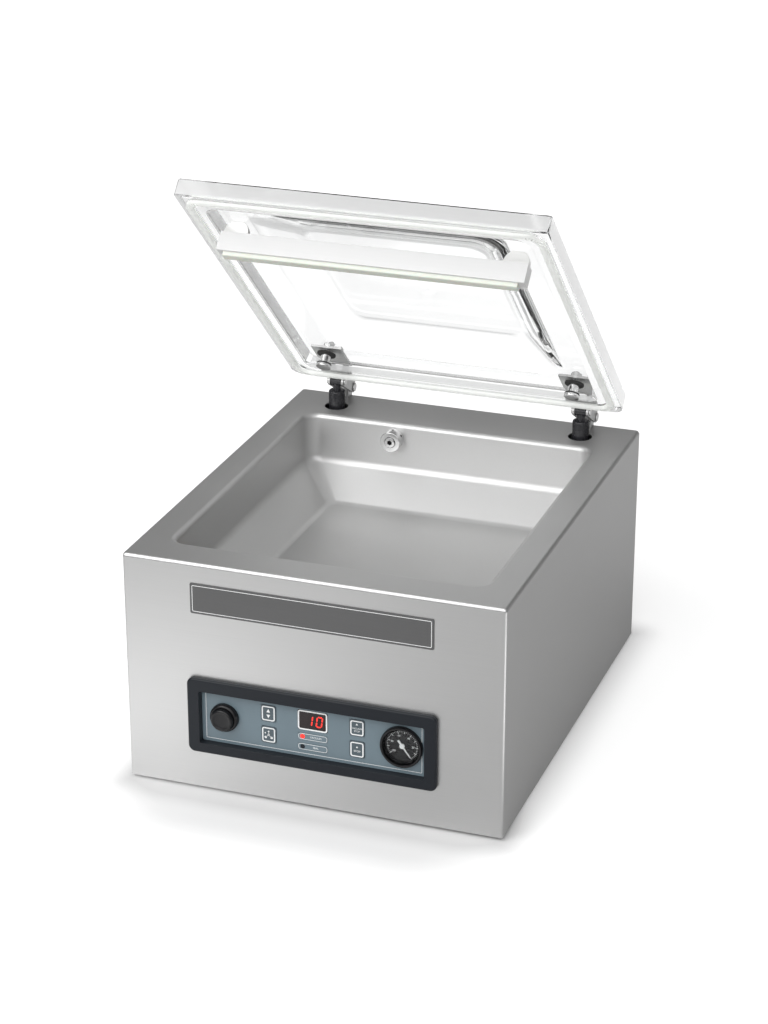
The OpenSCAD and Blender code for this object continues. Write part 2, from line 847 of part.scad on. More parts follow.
module panel_plate() {
    cut0 = panel_face - past;
    cut1 = panel_back + past;
    color([0.45, 0.52, 0.57]) difference() {
        union() {
            face_block(0, panel_z - window_drop, window_w - 2 * fit, window_h - 2 * fit, window_r,
                panel_face, panel_back);
            for (x = [-post_x, post_x], z = [-post_z, post_z])
                rod_y(x, panel_z - window_drop + z, panel_back, board_front, post_r);
        }
        rod_y(-dial_x, panel_z, cut0, cut1, barrel_r + fit);
        rod_y(dial_x, panel_z, cut0, cut1, gauge_body_r + fit);
        for (place = key_places)
            face_block(place[0], panel_z + place[1], key_w + 2 * fit, key_h + 2 * fit, key_corner,
                cut0, cut1);
        face_block(0, panel_z + display_up, display_w + 2 * fit, display_h + 2 * fit, display_r, cut0, cut1);
        for (z = lamp_places)
            face_block(0, panel_z + z, display_w + 2 * fit, lamp_h + 2 * fit, lamp_r, cut0, cut1);
    }
}

// Lens that fills a window of the panel plate, with a flange behind it
module lens(z, h, r) {
    face_block(0, panel_z + z, display_w, h, r, panel_face - lens_proud, panel_back);
    face_block(0, panel_z + z, display_w + 2 * flange, h + 2 * flange, r, panel_back, panel_back + flange);
}

module display_window() {
    color([0.12, 0.02, 0.02]) lens(display_up, display_h, display_r);
}

module lamp_lenses() {
    color(dark_plastic) for (z = lamp_places) lens(z, lamp_h, lamp_r);
}

module control_board() {
    tact_front = panel_back + flange + key_travel + fit;
    color([0.1, 0.35, 0.2]) {
        face_block(0, panel_z - window_drop, board_w, board_h, 2, board_front, board_front + board_t);
        for (place = key_places)
            face_block(place[0], panel_z + place[1], tact_side, tact_side, 1, tact_front, board_front);
    }
}

module key(place) {
    color(dark_plastic) {
        face_block(place[0], panel_z + place[1], key_w, key_h, key_corner,
            panel_face - key_proud, panel_back);
        face_block(place[0], panel_z + place[1], key_w + 2 * flange, key_h + 2 * flange, key_corner,
            panel_back, panel_back + flange);
    }
}

// Collar of the push button with its barrel through the panel plate
module switch_collar() {
    color(black) difference() {
        union() {
            rod_y(-dial_x, panel_z, panel_face - collar_proud, panel_face, collar_d / 2);
            rod_y(-dial_x, panel_z, panel_face - past, panel_face + barrel_l, barrel_r);
        }
        rod_y(-dial_x, panel_z, panel_face - collar_proud - past, panel_face - collar_floor,
            button_d / 2 + fit);
        rod_y(-dial_x, panel_z, panel_face - collar_proud, panel_face + barrel_l + past, stem_r + run_fit);
    }
}

module push_button() {
    back = panel_face - collar_floor - button_travel - fit;
    front = panel_face - collar_proud - button_out;
    color(dark_plastic) {
        rod_y(-dial_x, panel_z, front, back, button_d / 2);
        rod_y(-dial_x, panel_z, back - past, panel_face + barrel_l + stem_past, stem_r);
    }
}

module switch_block() {
    front = panel_face + barrel_l;
    color(dark_plastic) difference() {
        face_block(-dial_x, panel_z, block_side, block_side, 2, front, front + block_l);
        rod_y(-dial_x, panel_z, front - past, front + stem_past + button_travel + stem_room,
            stem_r + stem_room);
    }
}

module gauge_case() {
    front = panel_face - gauge_proud;
    seat = front + glass_deep + glass_t;
    dial_seat = front + dial_deep + dial_t;
    color(black) difference() {
        union() {
            rod_y(dial_x, panel_z, front, panel_face, gauge_d / 2);
            rod_y(dial_x, panel_z, panel_face - past, panel_face + gauge_l, gauge_body_r);
            rod_y(dial_x, panel_z, panel_face + gauge_l - past, panel_face + gauge_l + gauge_nipple_l,
                nipple_r);
        }
        rod_y(dial_x, panel_z, front - past, seat, gauge_d / 2 - gauge_wall / 2);
        rod_y(dial_x, panel_z, front, dial_seat, dial_r);
        rod_y(dial_x, panel_z, front, panel_face + gauge_l - gauge_wall, dial_r - gauge_wall);
    }
}

module gauge_dial() {
    front = panel_face - gauge_proud + dial_deep;
    color(black) difference() {
        rod_y(dial_x, panel_z, front, front + dial_t, dial_r - fit);
        rod_y(dial_x, panel_z, front - past, front + dial_t + past, needle_spindle_r + run_fit);
    }
}

module gauge_glass() {
    front = panel_face - gauge_proud + glass_deep;
    color(acrylic) rod_y(dial_x, panel_z, front, front + glass_t, gauge_d / 2 - gauge_wall / 2 - fit);
}

module gauge_needle() {
    dial_front = panel_face - gauge_proud + dial_deep;
    color("white") {
        translate([dial_x, 0, panel_z]) rotate([0, -needle_rest, 0])
            along_y(dial_front - fit - needle_t, dial_front - fit)
                polygon([[-needle_tail, -needle_w / 2], [needle_reach, -needle_tip / 2],
                    [needle_reach, needle_tip / 2], [-needle_tail, needle_w / 2]]);
        rod_y(dial_x, panel_z, dial_front - fit - needle_t - hub_proud, dial_front - fit, hub_r);
        rod_y(dial_x, panel_z, dial_front - fit - needle_t, dial_front + dial_t + spindle_past,
            needle_spindle_r);
    }
}

// Head in the chamber with side holes, neck through the wall, nut and hose nipple behind it
module suction_port() {
    back = chamber_rear + deck_t;
    face = chamber_rear - port_l;
    color(alu) difference() {
        union() {
            rod_y(-port_x, port_z, face, chamber_rear, port_d / 2);
            rod_y(-port_x, port_z, chamber_rear - past, back + port_nipple_l, port_nipple_r);
            rod_y(-port_x, port_z, back, back + port_nut_t, port_nut_r);
        }
        rod_y(-port_x, port_z, face - past, face + port_screw_deep, port_screw_d / 2 + fit);
        rod_y(-port_x, port_z, face + port_bore_deep, back + port_nipple_l + past, port_bore_r);
        for (turn = [0 : 60 : 300])
            translate([-port_x, face + port_hole_deep, port_z]) rotate([0, turn, 0])
                cylinder(h = port_d, r = port_hole_r);
    }
}

module port_screw() {
    face = chamber_rear - port_l;
    color(steel) difference() {
        rod_y(-port_x, port_z, face - port_screw_proud, face + port_screw_deep, port_screw_d / 2);
        translate([-port_x, face - port_screw_proud - past, port_z]) rotate([-90, 0, 0])
            cylinder(h = port_socket_deep + past, r = port_socket_r, $fn = 6);
    }
}

// Route of the hose's middle as [y, z, heading]: back from the port, down, forward under the chamber, down
function hose_arc(centre, from, to, turn) = [for (a = [from : (to - from) / bend_steps : to])
    [centre[0] + hose_bend * cos(a), centre[1] + hose_bend * sin(a), a + turn]];
hose_route = concat(
    [[hose_start, port_z, 0]],
    hose_arc([hose_back, port_z - hose_bend], 90, 0, -90),
    hose_arc([hose_back, hose_z + hose_bend], 0, -90, -90),
    hose_arc([hose_inlet_y + hose_bend, hose_z - hose_bend], 90, 180, 90),
    [[hose_inlet_y, pump_top, 270]]);

module hose_core(r, extra) {
    last = len(hose_route) - 1;
    loft([for (k = [0 : last]) let (
        stop = hose_route[k],
        more = k == 0 ? -extra : k == last ? extra : 0,
        y = stop[0] + more * cos(stop[2]),
        z = stop[1] + more * sin(stop[2]))
        [for (a = [0 : 30 : 330])
            [-port_x + r * cos(a), y + r * sin(a) * sin(stop[2]), z - r * sin(a) * cos(stop[2])]]]);
}

module vacuum_hose() {
    color(black) difference() {
        hose_core(hose_d / 2, 0);
        hose_core(hose_d / 2 - hose_wall, past);
    }
}

module lift_guides() {
    color(alu) for (side = [-1, 1]) difference() {
        union() {
            rod_z(side * piston_x, seal_y, floor_z, floor_z + guide_flange_t, guide_flange_r);
            rod_z(side * piston_x, seal_y, floor_z - guide_deep, floor_z + past, guide_r);
        }
        rod_z(side * piston_x, seal_y, floor_z - guide_deep - past, floor_z + guide_flange_t + past,
            piston_d / 2 + run_fit);
    }
}

module lift_cylinders() {
    color(alu) for (side = [-1, 1]) difference() {
        rod_z(side * piston_x, seal_y, lift_top - lift_h, lift_top, lift_d / 2);
        rod_z(side * piston_x, seal_y, lift_top - lift_h + lift_wall, lift_top - lift_wall,
            lift_d / 2 - lift_wall);
        rod_z(side * piston_x, seal_y, lift_top - lift_wall - past, lift_top + past, guide_r + fit);
    }
}

module lift_pistons() {
    color(steel) for (side = [-1, 1]) {
        rod_z(side * piston_x, seal_y, piston_z0, seal_bottom, piston_d / 2);
        rod_z(side * piston_x, seal_y, piston_z0, piston_z0 + piston_disc_t, lift_d / 2 - lift_wall - fit);
    }
}

module seal_bar() {
    color(alu) difference() {
        block([-seal_l / 2, seal_y - seal_w / 2, seal_bottom], [seal_l / 2, seal_y + seal_w / 2, seal_top]);
        for (side = [-1, 1])
            translate([0, seal_y + side * seal_w / 2, seal_bottom + seal_h / 2])
                block([-seal_l / 2 - past, -seal_groove, -seal_h / 6],
                    [seal_l / 2 + past, seal_groove, seal_h / 6]);
    }
}

module seal_wires() {
    color(steel) for (side = [-1, 1])
        block([-seal_l / 2, seal_y + side * wire_y - wire_w / 2, seal_top],
            [seal_l / 2, seal_y + side * wire_y + wire_w / 2, seal_top + wire_t]);
}

module seal_tape() {
    color([0.55, 0.42, 0.3])
        block([-seal_l / 2, seal_y - seal_w / 2, seal_top + wire_t],
            [seal_l / 2, seal_y + seal_w / 2, tape_top]);
}

module pump_housing() {
    low = pump_y - pump_w / 2;
    high = pump_y + pump_w / 2;
    color([0.5, 0.52, 0.54]) difference() {
        union() {
            block([pump_x0, low, pump_z0], [pump_x1, high, pump_top]);
            rod_z(-port_x, hose_inlet_y, pump_top - past, pump_top + nipple_l, nipple_r);
        }
        rod_x(pump_x0 - past, pump_x1 - pump_wall, pump_y, bore_z, pump_bore_r);
        rod_x(pump_x1 - pump_wall - past, pump_x1 + past, pump_y, shaft_z, bearing_r);
        rod_z(-port_x, hose_inlet_y, bore_z, pump_top + nipple_l + past, nipple_r - nipple_wall);
    }
}

module pump_end_cover() {
    color([0.5, 0.52, 0.54]) difference() {
        face_x_block(pump_x0 - end_cover_t, pump_x0, pump_w - 2 * end_cover_inset,
            pump_h - 2 * end_cover_inset);
        rod_x(pump_x0 - bearing_deep, pump_x0 + past, pump_y, shaft_z, bearing_r);
    }
}

// Rounded plate square to X, in the middle of the pump's end
module face_x_block(x0, x1, w, h) {
    z = pump_z0 + pump_h / 2;
    along_x(x0, x1)
        polygon(round_rect(pump_y - w / 2, pump_y + w / 2, z - h / 2, z + h / 2, even(end_cover_r)));
}

// Radial slots of the rotor, or the vanes that fill them
module vane_slots(x0, x1, top) {
    for (i = [0 : vane_count - 1])
        translate([0, pump_y, shaft_z]) rotate([i * 360 / vane_count, 0, 0])
            block([x0, -vane_t / 2, rotor_r - vane_h], [x1, vane_t / 2, top]);
}

module pump_rotor() {
    color(steel) difference() {
        rod_x(rotor_x0, rotor_x1, pump_y, shaft_z, rotor_r);
        rod_x(rotor_x0 - past, rotor_x1 + past, pump_y, shaft_z, shaft_d / 2);
        vane_slots(rotor_x0 - past, rotor_x1 + past, rotor_r + past);
    }
}

// Vanes at rest, sunk in the rotor's slots
module pump_vanes() {
    color(dark_plastic) intersection() {
        vane_slots(rotor_x0, rotor_x1, rotor_r);
        rod_x(rotor_x0, rotor_x1, pump_y, shaft_z, rotor_r);
    }
}

module pump_mounts() {
    color(black) {
        for (side = [-1, 1])
            rod_z((pump_x0 + pump_x1) / 2, pump_y + side * (pump_w / 2 - mount_inset),
                tray_top, pump_z0, mount_r);
        for (side = [-1, 1])
            rod_z(pump_x1 + motor_l / 2, pump_y + side * (foot_w / 2 - mount_inset),
                tray_top, pump_z0, mount_r);
    }
}

module exhaust_filter() {
    y0 = pump_y + pump_w / 2;
    z0 = pump_top - filter_drop - filter_h;
    color(dark_plastic) along_x(pump_x0 + filter_inset, pump_x1 - filter_inset)
        polygon(round_rect(y0, y0 + filter_w, z0, z0 + filter_h, [1, filter_r, filter_r, 1]));
}

module motor_body() {
    foot_x = pump_x1 + motor_l / 2;
    color([0.35, 0.4, 0.45]) difference() {
        union() {
            rod_x(pump_x1, motor_x1, pump_y, shaft_z, motor_r);
            block([foot_x - foot_l / 2, pump_y - foot_w / 2, pump_z0],
                [foot_x + foot_l / 2, pump_y + foot_w / 2, shaft_z]);
        }
        rod_x(pump_x1 + motor_wall, motor_x1 - motor_wall, pump_y, shaft_z, core_r + core_gap);
        rod_x(pump_x1 - past, motor_x1 + past, pump_y, shaft_z, bearing_r);
    }
}

// Drive shaft with the motor's core on it
module motor_armature() {
    middle = pump_x1 + motor_l / 2;
    color(steel) {
        rod_x(pump_x0 - bearing_deep + rotor_play, motor_x1 + fan_gap + fan_l, pump_y, shaft_z, shaft_d / 2);
        rod_x(middle - core_l / 2, middle + core_l / 2, pump_y, shaft_z, core_r);
    }
}

module motor_fan() {
    x0 = motor_x1 + fan_gap;
    color(dark_plastic) difference() {
        union() {
            rod_x(x0, x0 + fan_l, pump_y, shaft_z, fan_hub_r);
            for (i = [0 : fan_blades - 1])
                translate([0, pump_y, shaft_z]) rotate([i * 360 / fan_blades, 0, 0])
                    block([x0 + 1, -blade_t / 2, fan_hub_r - 2], [x0 + fan_l - 1, blade_t / 2, fan_r]);
        }
        rod_x(x0 - past, x0 + fan_l + past, pump_y, shaft_z, shaft_d / 2);
    }
}

module fan_cowl() {
    end = motor_x1 + cowl_l;
    color(dark_plastic) difference() {
        rod_x(motor_x1, end, pump_y, shaft_z, motor_r);
        rod_x(motor_x1 - past, end - cowl_t, pump_y, shaft_z, motor_r - cowl_t);
        for (row = [-cowl_rows : cowl_rows])
            translate([0, pump_y, shaft_z + row * cowl_pitch])
                block([end - cowl_t - past, -cowl_slot_w / 2, -cowl_pitch / 4],
                    [end + past, cowl_slot_w / 2, cowl_pitch / 4]);
    }
}

// Laminated core with its windings through it
module seal_transformer() {
    color([0.55, 0.45, 0.35]) translate([transformer_x, transformer_y, tray_top]) {
        block([-core_w / 2, -core_d / 2, 0], [core_w / 2, core_d / 2, core_h]);
        block([-coil_w / 2, -coil_d / 2, (core_h - coil_h) / 2],
            [coil_w / 2, coil_d / 2, (core_h + coil_h) / 2]);
    }
}

// Valve body with two coils on it
module valve_block() {
    color(alu) translate([valve_x, valve_y, tray_top]) {
        block([-valve_w / 2, -valve_d / 2, 0], [valve_w / 2, valve_d / 2, valve_h]);
        for (side = [-1, 1])
            rod_z(side * valve_w / 4, 0, valve_h - past, valve_h + valve_coil_h, valve_coil_r);
    }
}

// Inlet socket of the usual three-blade form
module mains_inlet() {
    mouth = rear_y + inlet_proud;
    color(black) {
        difference() {
            union() {
                face_block(inlet_x, inlet_z, inlet_w, inlet_h, inlet_corner, rear_y, mouth);
                face_block(inlet_x, inlet_z, inlet_body_w, inlet_body_h, inlet_r, rear_y - inlet_body_l,
                    rear_y + past);
            }
            face_block(inlet_x, inlet_z, socket_w, socket_h, socket_r, mouth - socket_deep, mouth + past);
        }
        for (place = blade_places)
            face_block(inlet_x + place[0], inlet_z + place[1], blade_w, blade_h, blade_w / 5,
                mouth - socket_deep - past, mouth - socket_deep + blade_l);
    }
}

module lug_outline() {
    difference() {
        union() {
            translate([pivot_y, pivot_z]) circle(lug_r);
            polygon([[pivot_y - lug_front, deck_z], [lug_rear, deck_z],
                [pivot_y + lug_r, pivot_z], [pivot_y - lug_r, pivot_z]]);
        }
        translate([pivot_y, pivot_z]) circle(hinge_pin_d / 2);
    }
}

module hinge_lugs() {
    color(steel) both_hinges() along_x(-lug_w / 2, lug_w / 2) lug_outline();
}

// Pin with a head at each end
module headed_pin(y, z, r) {
    rod_x(-cheek_out - fit - pin_head_t, cheek_out + fit + pin_head_t, y, z, r);
    for (side = [-1, 1])
        rod_x(side * (cheek_out + fit + pin_head_t / 2) - pin_head_t / 2,
            side * (cheek_out + fit + pin_head_t / 2) + pin_head_t / 2, y, z, r + pin_head_lip);
}

module hinge_pins() {
    color(steel) both_hinges() headed_pin(pivot_y, pivot_z, hinge_pin_d / 2);
}

module spring_pins() {
    color(steel) both_hinges() opened() headed_pin(eye_closed[0], eye_closed[1], spring_pin_d / 2);
}

module spring_tube(side) {
    r = spring_d / 2;
    color(black) translate([side * hinge_x, 0, 0]) difference() {
        union() {
            rod_z(0, eye_open[0], tube_top - spring_l, tube_top, r);
            rod_z(0, eye_open[0], tube_top - past, eye_open[1], neck_r);
            rod_x(-eye_w / 2, eye_w / 2, eye_open[0], eye_open[1], eye_r);
        }
        rod_x(-eye_w, eye_w, eye_open[0], eye_open[1], spring_pin_d / 2 + run_fit);
        rod_z(0, eye_open[0], tube_top - spring_l + gland_t, tube_top - gland_t, r - spring_wall);
        rod_z(0, eye_open[0], tube_top - spring_l - past, tube_top - spring_l + gland_t + past,
            spring_rod_d / 2 + rod_sway + gland_gap);
    }
}

module spring_rods() {
    color(alu) both_hinges() {
        rod_z(0, spring_rod_y, tray_top, tray_top + rod_foot_t, rod_foot_r);
        rod_z(0, spring_rod_y, tray_top, rod_top, spring_rod_d / 2);
        rod_z(0, spring_rod_y, rod_top - spring_piston_l, rod_top, spring_piston_r);
    }
}

// Clear lid: flat edge, sealing rim, recess and raised middle
module lid_shell() {
    foot_side = dome_side - dome_wall;
    foot_front = dome_front - dome_wall;
    foot_rear = dome_rear - dome_wall;
    color(acrylic) opened() difference() {
        loft([
            lid_ring(0, 0, 0, lid_corners, 0),
            lid_ring(0, 0, 0, lid_corners, lid_edge_h - lid_chamfer),
            lid_ring(lid_chamfer, lid_chamfer, lid_chamfer, lid_corners, lid_edge_h),
            lid_ring(foot_side, foot_front, foot_rear, even(dome_foot_r), lid_edge_h),
            lid_ring(foot_side + dome_side_run, foot_front + dome_front_run, foot_rear + dome_rear_run,
                even(dome_top_r), dome_h + dome_t)]);
        loft([
            lid_ring(lid_rim, lid_rim, lid_rim, even(recess_r), -past),
            lid_ring(lid_rim, lid_rim, lid_rim, even(recess_r), 0),
            lid_ring(ceiling_in, ceiling_in, ceiling_in, even(recess_r), recess_h),
            lid_ring(dome_side, dome_front, dome_rear, even(dome_foot_r), recess_h),
            lid_ring(dome_side + dome_side_run, dome_front + dome_front_run, dome_rear + dome_rear_run,
                even(dome_top_r), dome_h)]);
        gasket_ring(gasket_edge - fit, gasket_w + 2 * fit, lid_z - past, lid_z + gasket_deep);
        both_hinges() rod_z(0, bolt_y, lid_z, lid_top + past, bolt_d / 2 + fit);
    }
}

// Ring round the lid's rim
module gasket_ring(edge, w, z0, z1) {
    translate([0, 0, z0]) linear_extrude(z1 - z0) difference() {
        polygon(gasket_outline(edge));
        polygon(gasket_outline(edge + w));
    }
}

function gasket_outline(inset) = round_rect(-lid_w / 2 + inset, lid_w / 2 - inset, lid_front + inset,
    lid_rear - inset, even(max(gasket_corner - inset / 2, 2)));

module lid_gasket() {
    color([0.85, 0.86, 0.84]) opened()
        gasket_ring(gasket_edge, gasket_w, lid_z - gasket_proud, lid_z + gasket_deep);
}

module counter_bar() {
    color("white") opened()
        block([-bar_l / 2, seal_y - bar_w / 2, bar_bottom], [bar_l / 2, seal_y + bar_w / 2, bar_top]);
}

module counter_strip() {
    color([0.88, 0.86, 0.8]) opened()
        block([strip_end - bar_l / 2, seal_y - strip_w / 2, strip_bottom],
            [bar_l / 2 - strip_end, seal_y + strip_w / 2, bar_bottom]);
}

// Half-round holders between the counter bar and the recess
module bar_holders() {
    middle = ceiling_z - holder_r + holder_flat;
    color("white") opened() for (side = [-1, 1]) translate([side * (bar_l / 2 - holder_end), 0, 0])
        intersection() {
            rod_y(0, middle, seal_y - holder_t / 2, seal_y + holder_t / 2, holder_r);
            block([-holder_r, seal_y - holder_t, bar_top], [holder_r, seal_y + holder_t, ceiling_z]);
        }
}

// Side cheek of a hinge bracket, with its ear round the pivot and its lobe round the spring pin
module cheek_outline() {
    top = lid_top + bracket_t + cheek_rise;
    front = lid_rear - cheek_on_lid;
    difference() {
        union() {
            polygon([
                [front, lid_top], [front, top], [eye_closed[0] + cheek_knee, top],
                [pivot_y + ear_r * cos(ear_turn), pivot_z + ear_r * sin(ear_turn)],
                [pivot_y, pivot_z - ear_r],
                [eye_closed[0], eye_closed[1] - eye_r], [eye_closed[0] - eye_r, eye_closed[1]],
                [eye_closed[0] - eye_r, lid_top]]);
            translate([pivot_y, pivot_z]) circle(ear_r);
            translate(eye_closed) circle(eye_r);
        }
        translate([pivot_y, pivot_z]) circle(hinge_pin_d / 2 + run_fit);
        translate(eye_closed) circle(spring_pin_d / 2);
    }
}

module hinge_brackets() {
    color(steel) opened() both_hinges() difference() {
        union() {
            block([-bracket_w / 2, lid_rear - bracket_l, lid_top],
                [bracket_w / 2, eye_closed[0] - eye_r, lid_top + bracket_t]);
            along_x(-cheek_out, -cheek_in) cheek_outline();
            along_x(cheek_in, cheek_out) cheek_outline();
        }
        rod_z(0, bolt_y, lid_top - past, lid_top + bracket_t + past, bolt_d / 2 + fit);
    }
}

// Bolt with a sleeve that stands in the recess and a flat head at its end
module lid_bolts() {
    end = lid_z - bolt_reach;
    color(steel) opened() both_hinges() {
        rod_z(0, bolt_y, end, end + bolt_head_t, bolt_head_d / 2);
        rod_z(0, bolt_y, end, ceiling_z - washer_t, sleeve_d / 2);
        rod_z(0, bolt_y, end, lid_top + bracket_t + nut_t + bolt_past, bolt_d / 2);
    }
}

module bolt_nuts() {
    z = lid_top + bracket_t;
    color(steel) opened() both_hinges() difference() {
        translate([0, bolt_y, z]) cylinder(h = nut_t, d = nut_d, $fn = 6);
        rod_z(0, bolt_y, z - past, z + nut_t + past, bolt_d / 2);
    }
}

module bolt_washers() {
    color(black) opened() both_hinges() difference() {
        rod_z(0, bolt_y, ceiling_z - washer_t, ceiling_z, washer_d / 2);
        rod_z(0, bolt_y, ceiling_z - washer_t - past, ceiling_z + past, bolt_d / 2 + fit);
    }
}

base_tray();
rubber_feet();
casing_wrap();
rear_panel();
rear_screws();
deck_chamber();
name_plate();
panel_bezel();
panel_plate();
display_window();
lamp_lenses();
control_board();
switch_collar();
switch_block();
push_button();
for (i = [0 : 3]) key(key_places[i]);
gauge_case();
gauge_dial();
gauge_glass();
gauge_needle();
suction_port();
port_screw();
vacuum_hose();
lift_guides();
lift_cylinders();
lift_pistons();
seal_bar();
seal_wires();
seal_tape();
pump_housing();
pump_end_cover();
pump_rotor();
pump_vanes();
pump_mounts();
exhaust_filter();
motor_body();
motor_armature();
motor_fan();
fan_cowl();
seal_transformer();
valve_block();
mains_inlet();
hinge_lugs();
hinge_pins();
spring_rods();
spring_tube(-1);  // spring_tube_left
spring_tube(1);  // spring_tube_right
lid_shell();
lid_gasket();
counter_bar();
counter_strip();
bar_holders();
hinge_brackets();
lid_bolts();
bolt_nuts();
bolt_washers();
spring_pins();
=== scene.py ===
"""Looks of a table-top chamber vacuum packing machine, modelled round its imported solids."""
import json
import math
from contextlib import contextmanager

import bmesh
import bpy
from bpy.props import FloatProperty, FloatVectorProperty, PointerProperty
from mathutils import Matrix, Vector

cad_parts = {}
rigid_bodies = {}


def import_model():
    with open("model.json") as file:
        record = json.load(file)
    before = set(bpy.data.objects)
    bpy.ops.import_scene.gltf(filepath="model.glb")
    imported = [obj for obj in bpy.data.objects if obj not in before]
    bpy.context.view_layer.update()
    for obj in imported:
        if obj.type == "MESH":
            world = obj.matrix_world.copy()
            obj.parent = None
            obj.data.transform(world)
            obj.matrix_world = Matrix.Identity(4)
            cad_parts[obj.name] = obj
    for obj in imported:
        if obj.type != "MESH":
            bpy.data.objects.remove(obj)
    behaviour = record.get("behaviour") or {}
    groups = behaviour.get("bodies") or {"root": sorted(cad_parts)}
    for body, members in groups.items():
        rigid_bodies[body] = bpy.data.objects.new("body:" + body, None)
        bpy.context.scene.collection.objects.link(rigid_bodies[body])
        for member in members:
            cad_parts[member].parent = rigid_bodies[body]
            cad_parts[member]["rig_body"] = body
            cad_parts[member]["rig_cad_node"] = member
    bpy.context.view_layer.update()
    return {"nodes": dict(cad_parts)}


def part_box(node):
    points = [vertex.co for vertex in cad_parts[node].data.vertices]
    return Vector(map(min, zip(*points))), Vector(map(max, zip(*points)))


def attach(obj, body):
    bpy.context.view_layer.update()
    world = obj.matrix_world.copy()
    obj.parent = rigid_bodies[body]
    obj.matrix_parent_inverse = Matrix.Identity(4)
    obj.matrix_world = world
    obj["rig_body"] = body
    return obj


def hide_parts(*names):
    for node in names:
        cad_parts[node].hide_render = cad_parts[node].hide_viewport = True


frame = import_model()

bl_info = {
    "name": "Chamber vacuum packing machine",
    "version": (1, 0, 0),
    "blender": (4, 5, 0),
    "location": "View3D > Sidebar > Packer",
    "description": "Models the looks of a table-top vacuum packing machine round its solids",
    "category": "Add Mesh",
}

# Two coordinates this close are the same, in metres
NEAR = 1e-5
# Corners of a ring: front left, front right, rear right, rear left
CORNERS = ((-1, -1), (1, -1), (1, 1), (-1, 1))
# Turn that makes a drawing that faces up face the front
TO_FRONT = (math.pi / 2, 0, 0)
FORWARD = (0, -1, 0)
# Points nearer than this become one, in metres
DOUBLES = 1e-6
# Places shared by several pieces, in millimetres: the gas springs and lid bolts, the middle of the panel,
# its front, the gauge (the push button stands on the other side), the display and the suction port
SPRING_X = 161
PANEL_Z = 95.5
PANEL_FRONT = -277
DIAL_X, DIAL_Z = 106, 97
DISPLAY_Z = 109.5
PORT = (-71, 199, 264)
# Thickness of the printed marks, in millimetres
PRINT = 0.12


def length(name, description, millimetres):
    """A size that a user may change."""
    return FloatProperty(name=name, description=description, default=millimetres / 1000, unit="LENGTH",
                         precision=5)


def tone(name, description, *rgb):
    """A colour that a user may change."""
    return FloatVectorProperty(name=name, description=description, default=rgb, subtype="COLOR", size=3,
                               min=0, max=1)


class PackerSizes(bpy.types.PropertyGroup):
    """Sizes that the machine's looks add to its solids."""

    sheet: length("Casing sheet", "Thickness of the casing sheet", 1.5)
    casing_bend: length("Casing bend", "Outer radius of the casing's upright bends", 3)
    deck_sheet: length("Deck sheet", "Thickness of the deck and chamber sheet", 2)
    deck_roll: length("Deck roll", "Radius of the deck's rolled outer edge", 3.6)
    rim: length("Chamber rim", "Radius where the deck turns down into the chamber", 6)
    wall_corner: length("Wall corners", "Radius of the chamber's upright corners", 18)
    wall_bend: length("Chamber bends", "Radius of the bends in the chamber's walls", 13)
    lid_edge: length("Lid edge", "Rounding of the lid's outer edges", 1.95)
    bezel_round: length("Bezel edge", "Rounding of the bezel's outer edge", 2.6)
    print_line: length("Printed line", "Width of the printed outlines on the keys", 1.4)
    lid_open: FloatProperty(name="Lid angle", description="Opening angle of the lid at rest",
                            default=math.radians(43), subtype="ANGLE")


class PackerColours(bpy.types.PropertyGroup):
    """Colours of the machine's finishes."""

    casing: tone("Casing steel", "Brushed sheet of the casing", 0.58, 0.58, 0.578)
    deck: tone("Deck steel", "Satin sheet of the deck and chamber", 0.58, 0.58, 0.578)
    polished: tone("Polished steel", "Turned and polished fittings", 0.72, 0.72, 0.72)
    aluminium: tone("Aluminium", "Drawn and turned aluminium", 0.80, 0.80, 0.79)
    acrylic: tone("Acrylic", "Clear lid", 0.975, 0.98, 0.98)
    gasket: tone("Lid gasket", "Pale silicone of the lid's gasket", 0.86, 0.87, 0.85)
    strip: tone("Counter strip", "Cream silicone of the counter bar's strip", 0.80, 0.79, 0.71)
    bezel: tone("Bezel", "Dark plastic of the panel's bezel", 0.013, 0.0155, 0.020)
    film: tone("Panel film", "Slate film of the control panel", 0.145, 0.195, 0.225)
    mark: tone("Printed marks", "White print on the panel and the dial", 0.85, 0.86, 0.86)
    digits: tone("Digits", "Lit digits and lamp", 0.9, 0.03, 0.02)
    plate: tone("Name plate", "Dark plate on the front", 0.095, 0.095, 0.096)
    spring: tone("Gas springs", "Black tubes of the gas springs", 0.018, 0.018, 0.021)


def sizes():
    return bpy.context.scene.packer_sizes


def colours():
    return bpy.context.scene.packer_colours


def mm(*values):
    """Millimetres as a point in metres."""
    return tuple(value / 1000 for value in values)


# Modelling by operators


def clear():
    """Leaves edit mode and deselects everything."""
    if bpy.context.object and bpy.context.object.mode != "OBJECT":
        bpy.ops.object.mode_set(mode="OBJECT")
    bpy.ops.object.select_all(action="DESELECT")


def only(obj):
    """Selects one object alone and makes it the active one."""
    clear()
    obj.select_set(True)
    bpy.context.view_layer.objects.active = obj
    return obj


def settled(name):
    """Names the active object and puts its place into its mesh."""
    obj = bpy.context.object
    obj.name = name
    obj.data.name = name
    bpy.ops.object.transform_apply(location=True, rotation=True, scale=True)
    return obj


@contextmanager
def editing(obj):
    """Edit mode on one object with nothing selected."""
    only(obj)
    bpy.ops.object.mode_set(mode="EDIT")
    bpy.ops.mesh.select_all(action="DESELECT")
    yield
    bpy.ops.object.mode_set(mode="OBJECT")


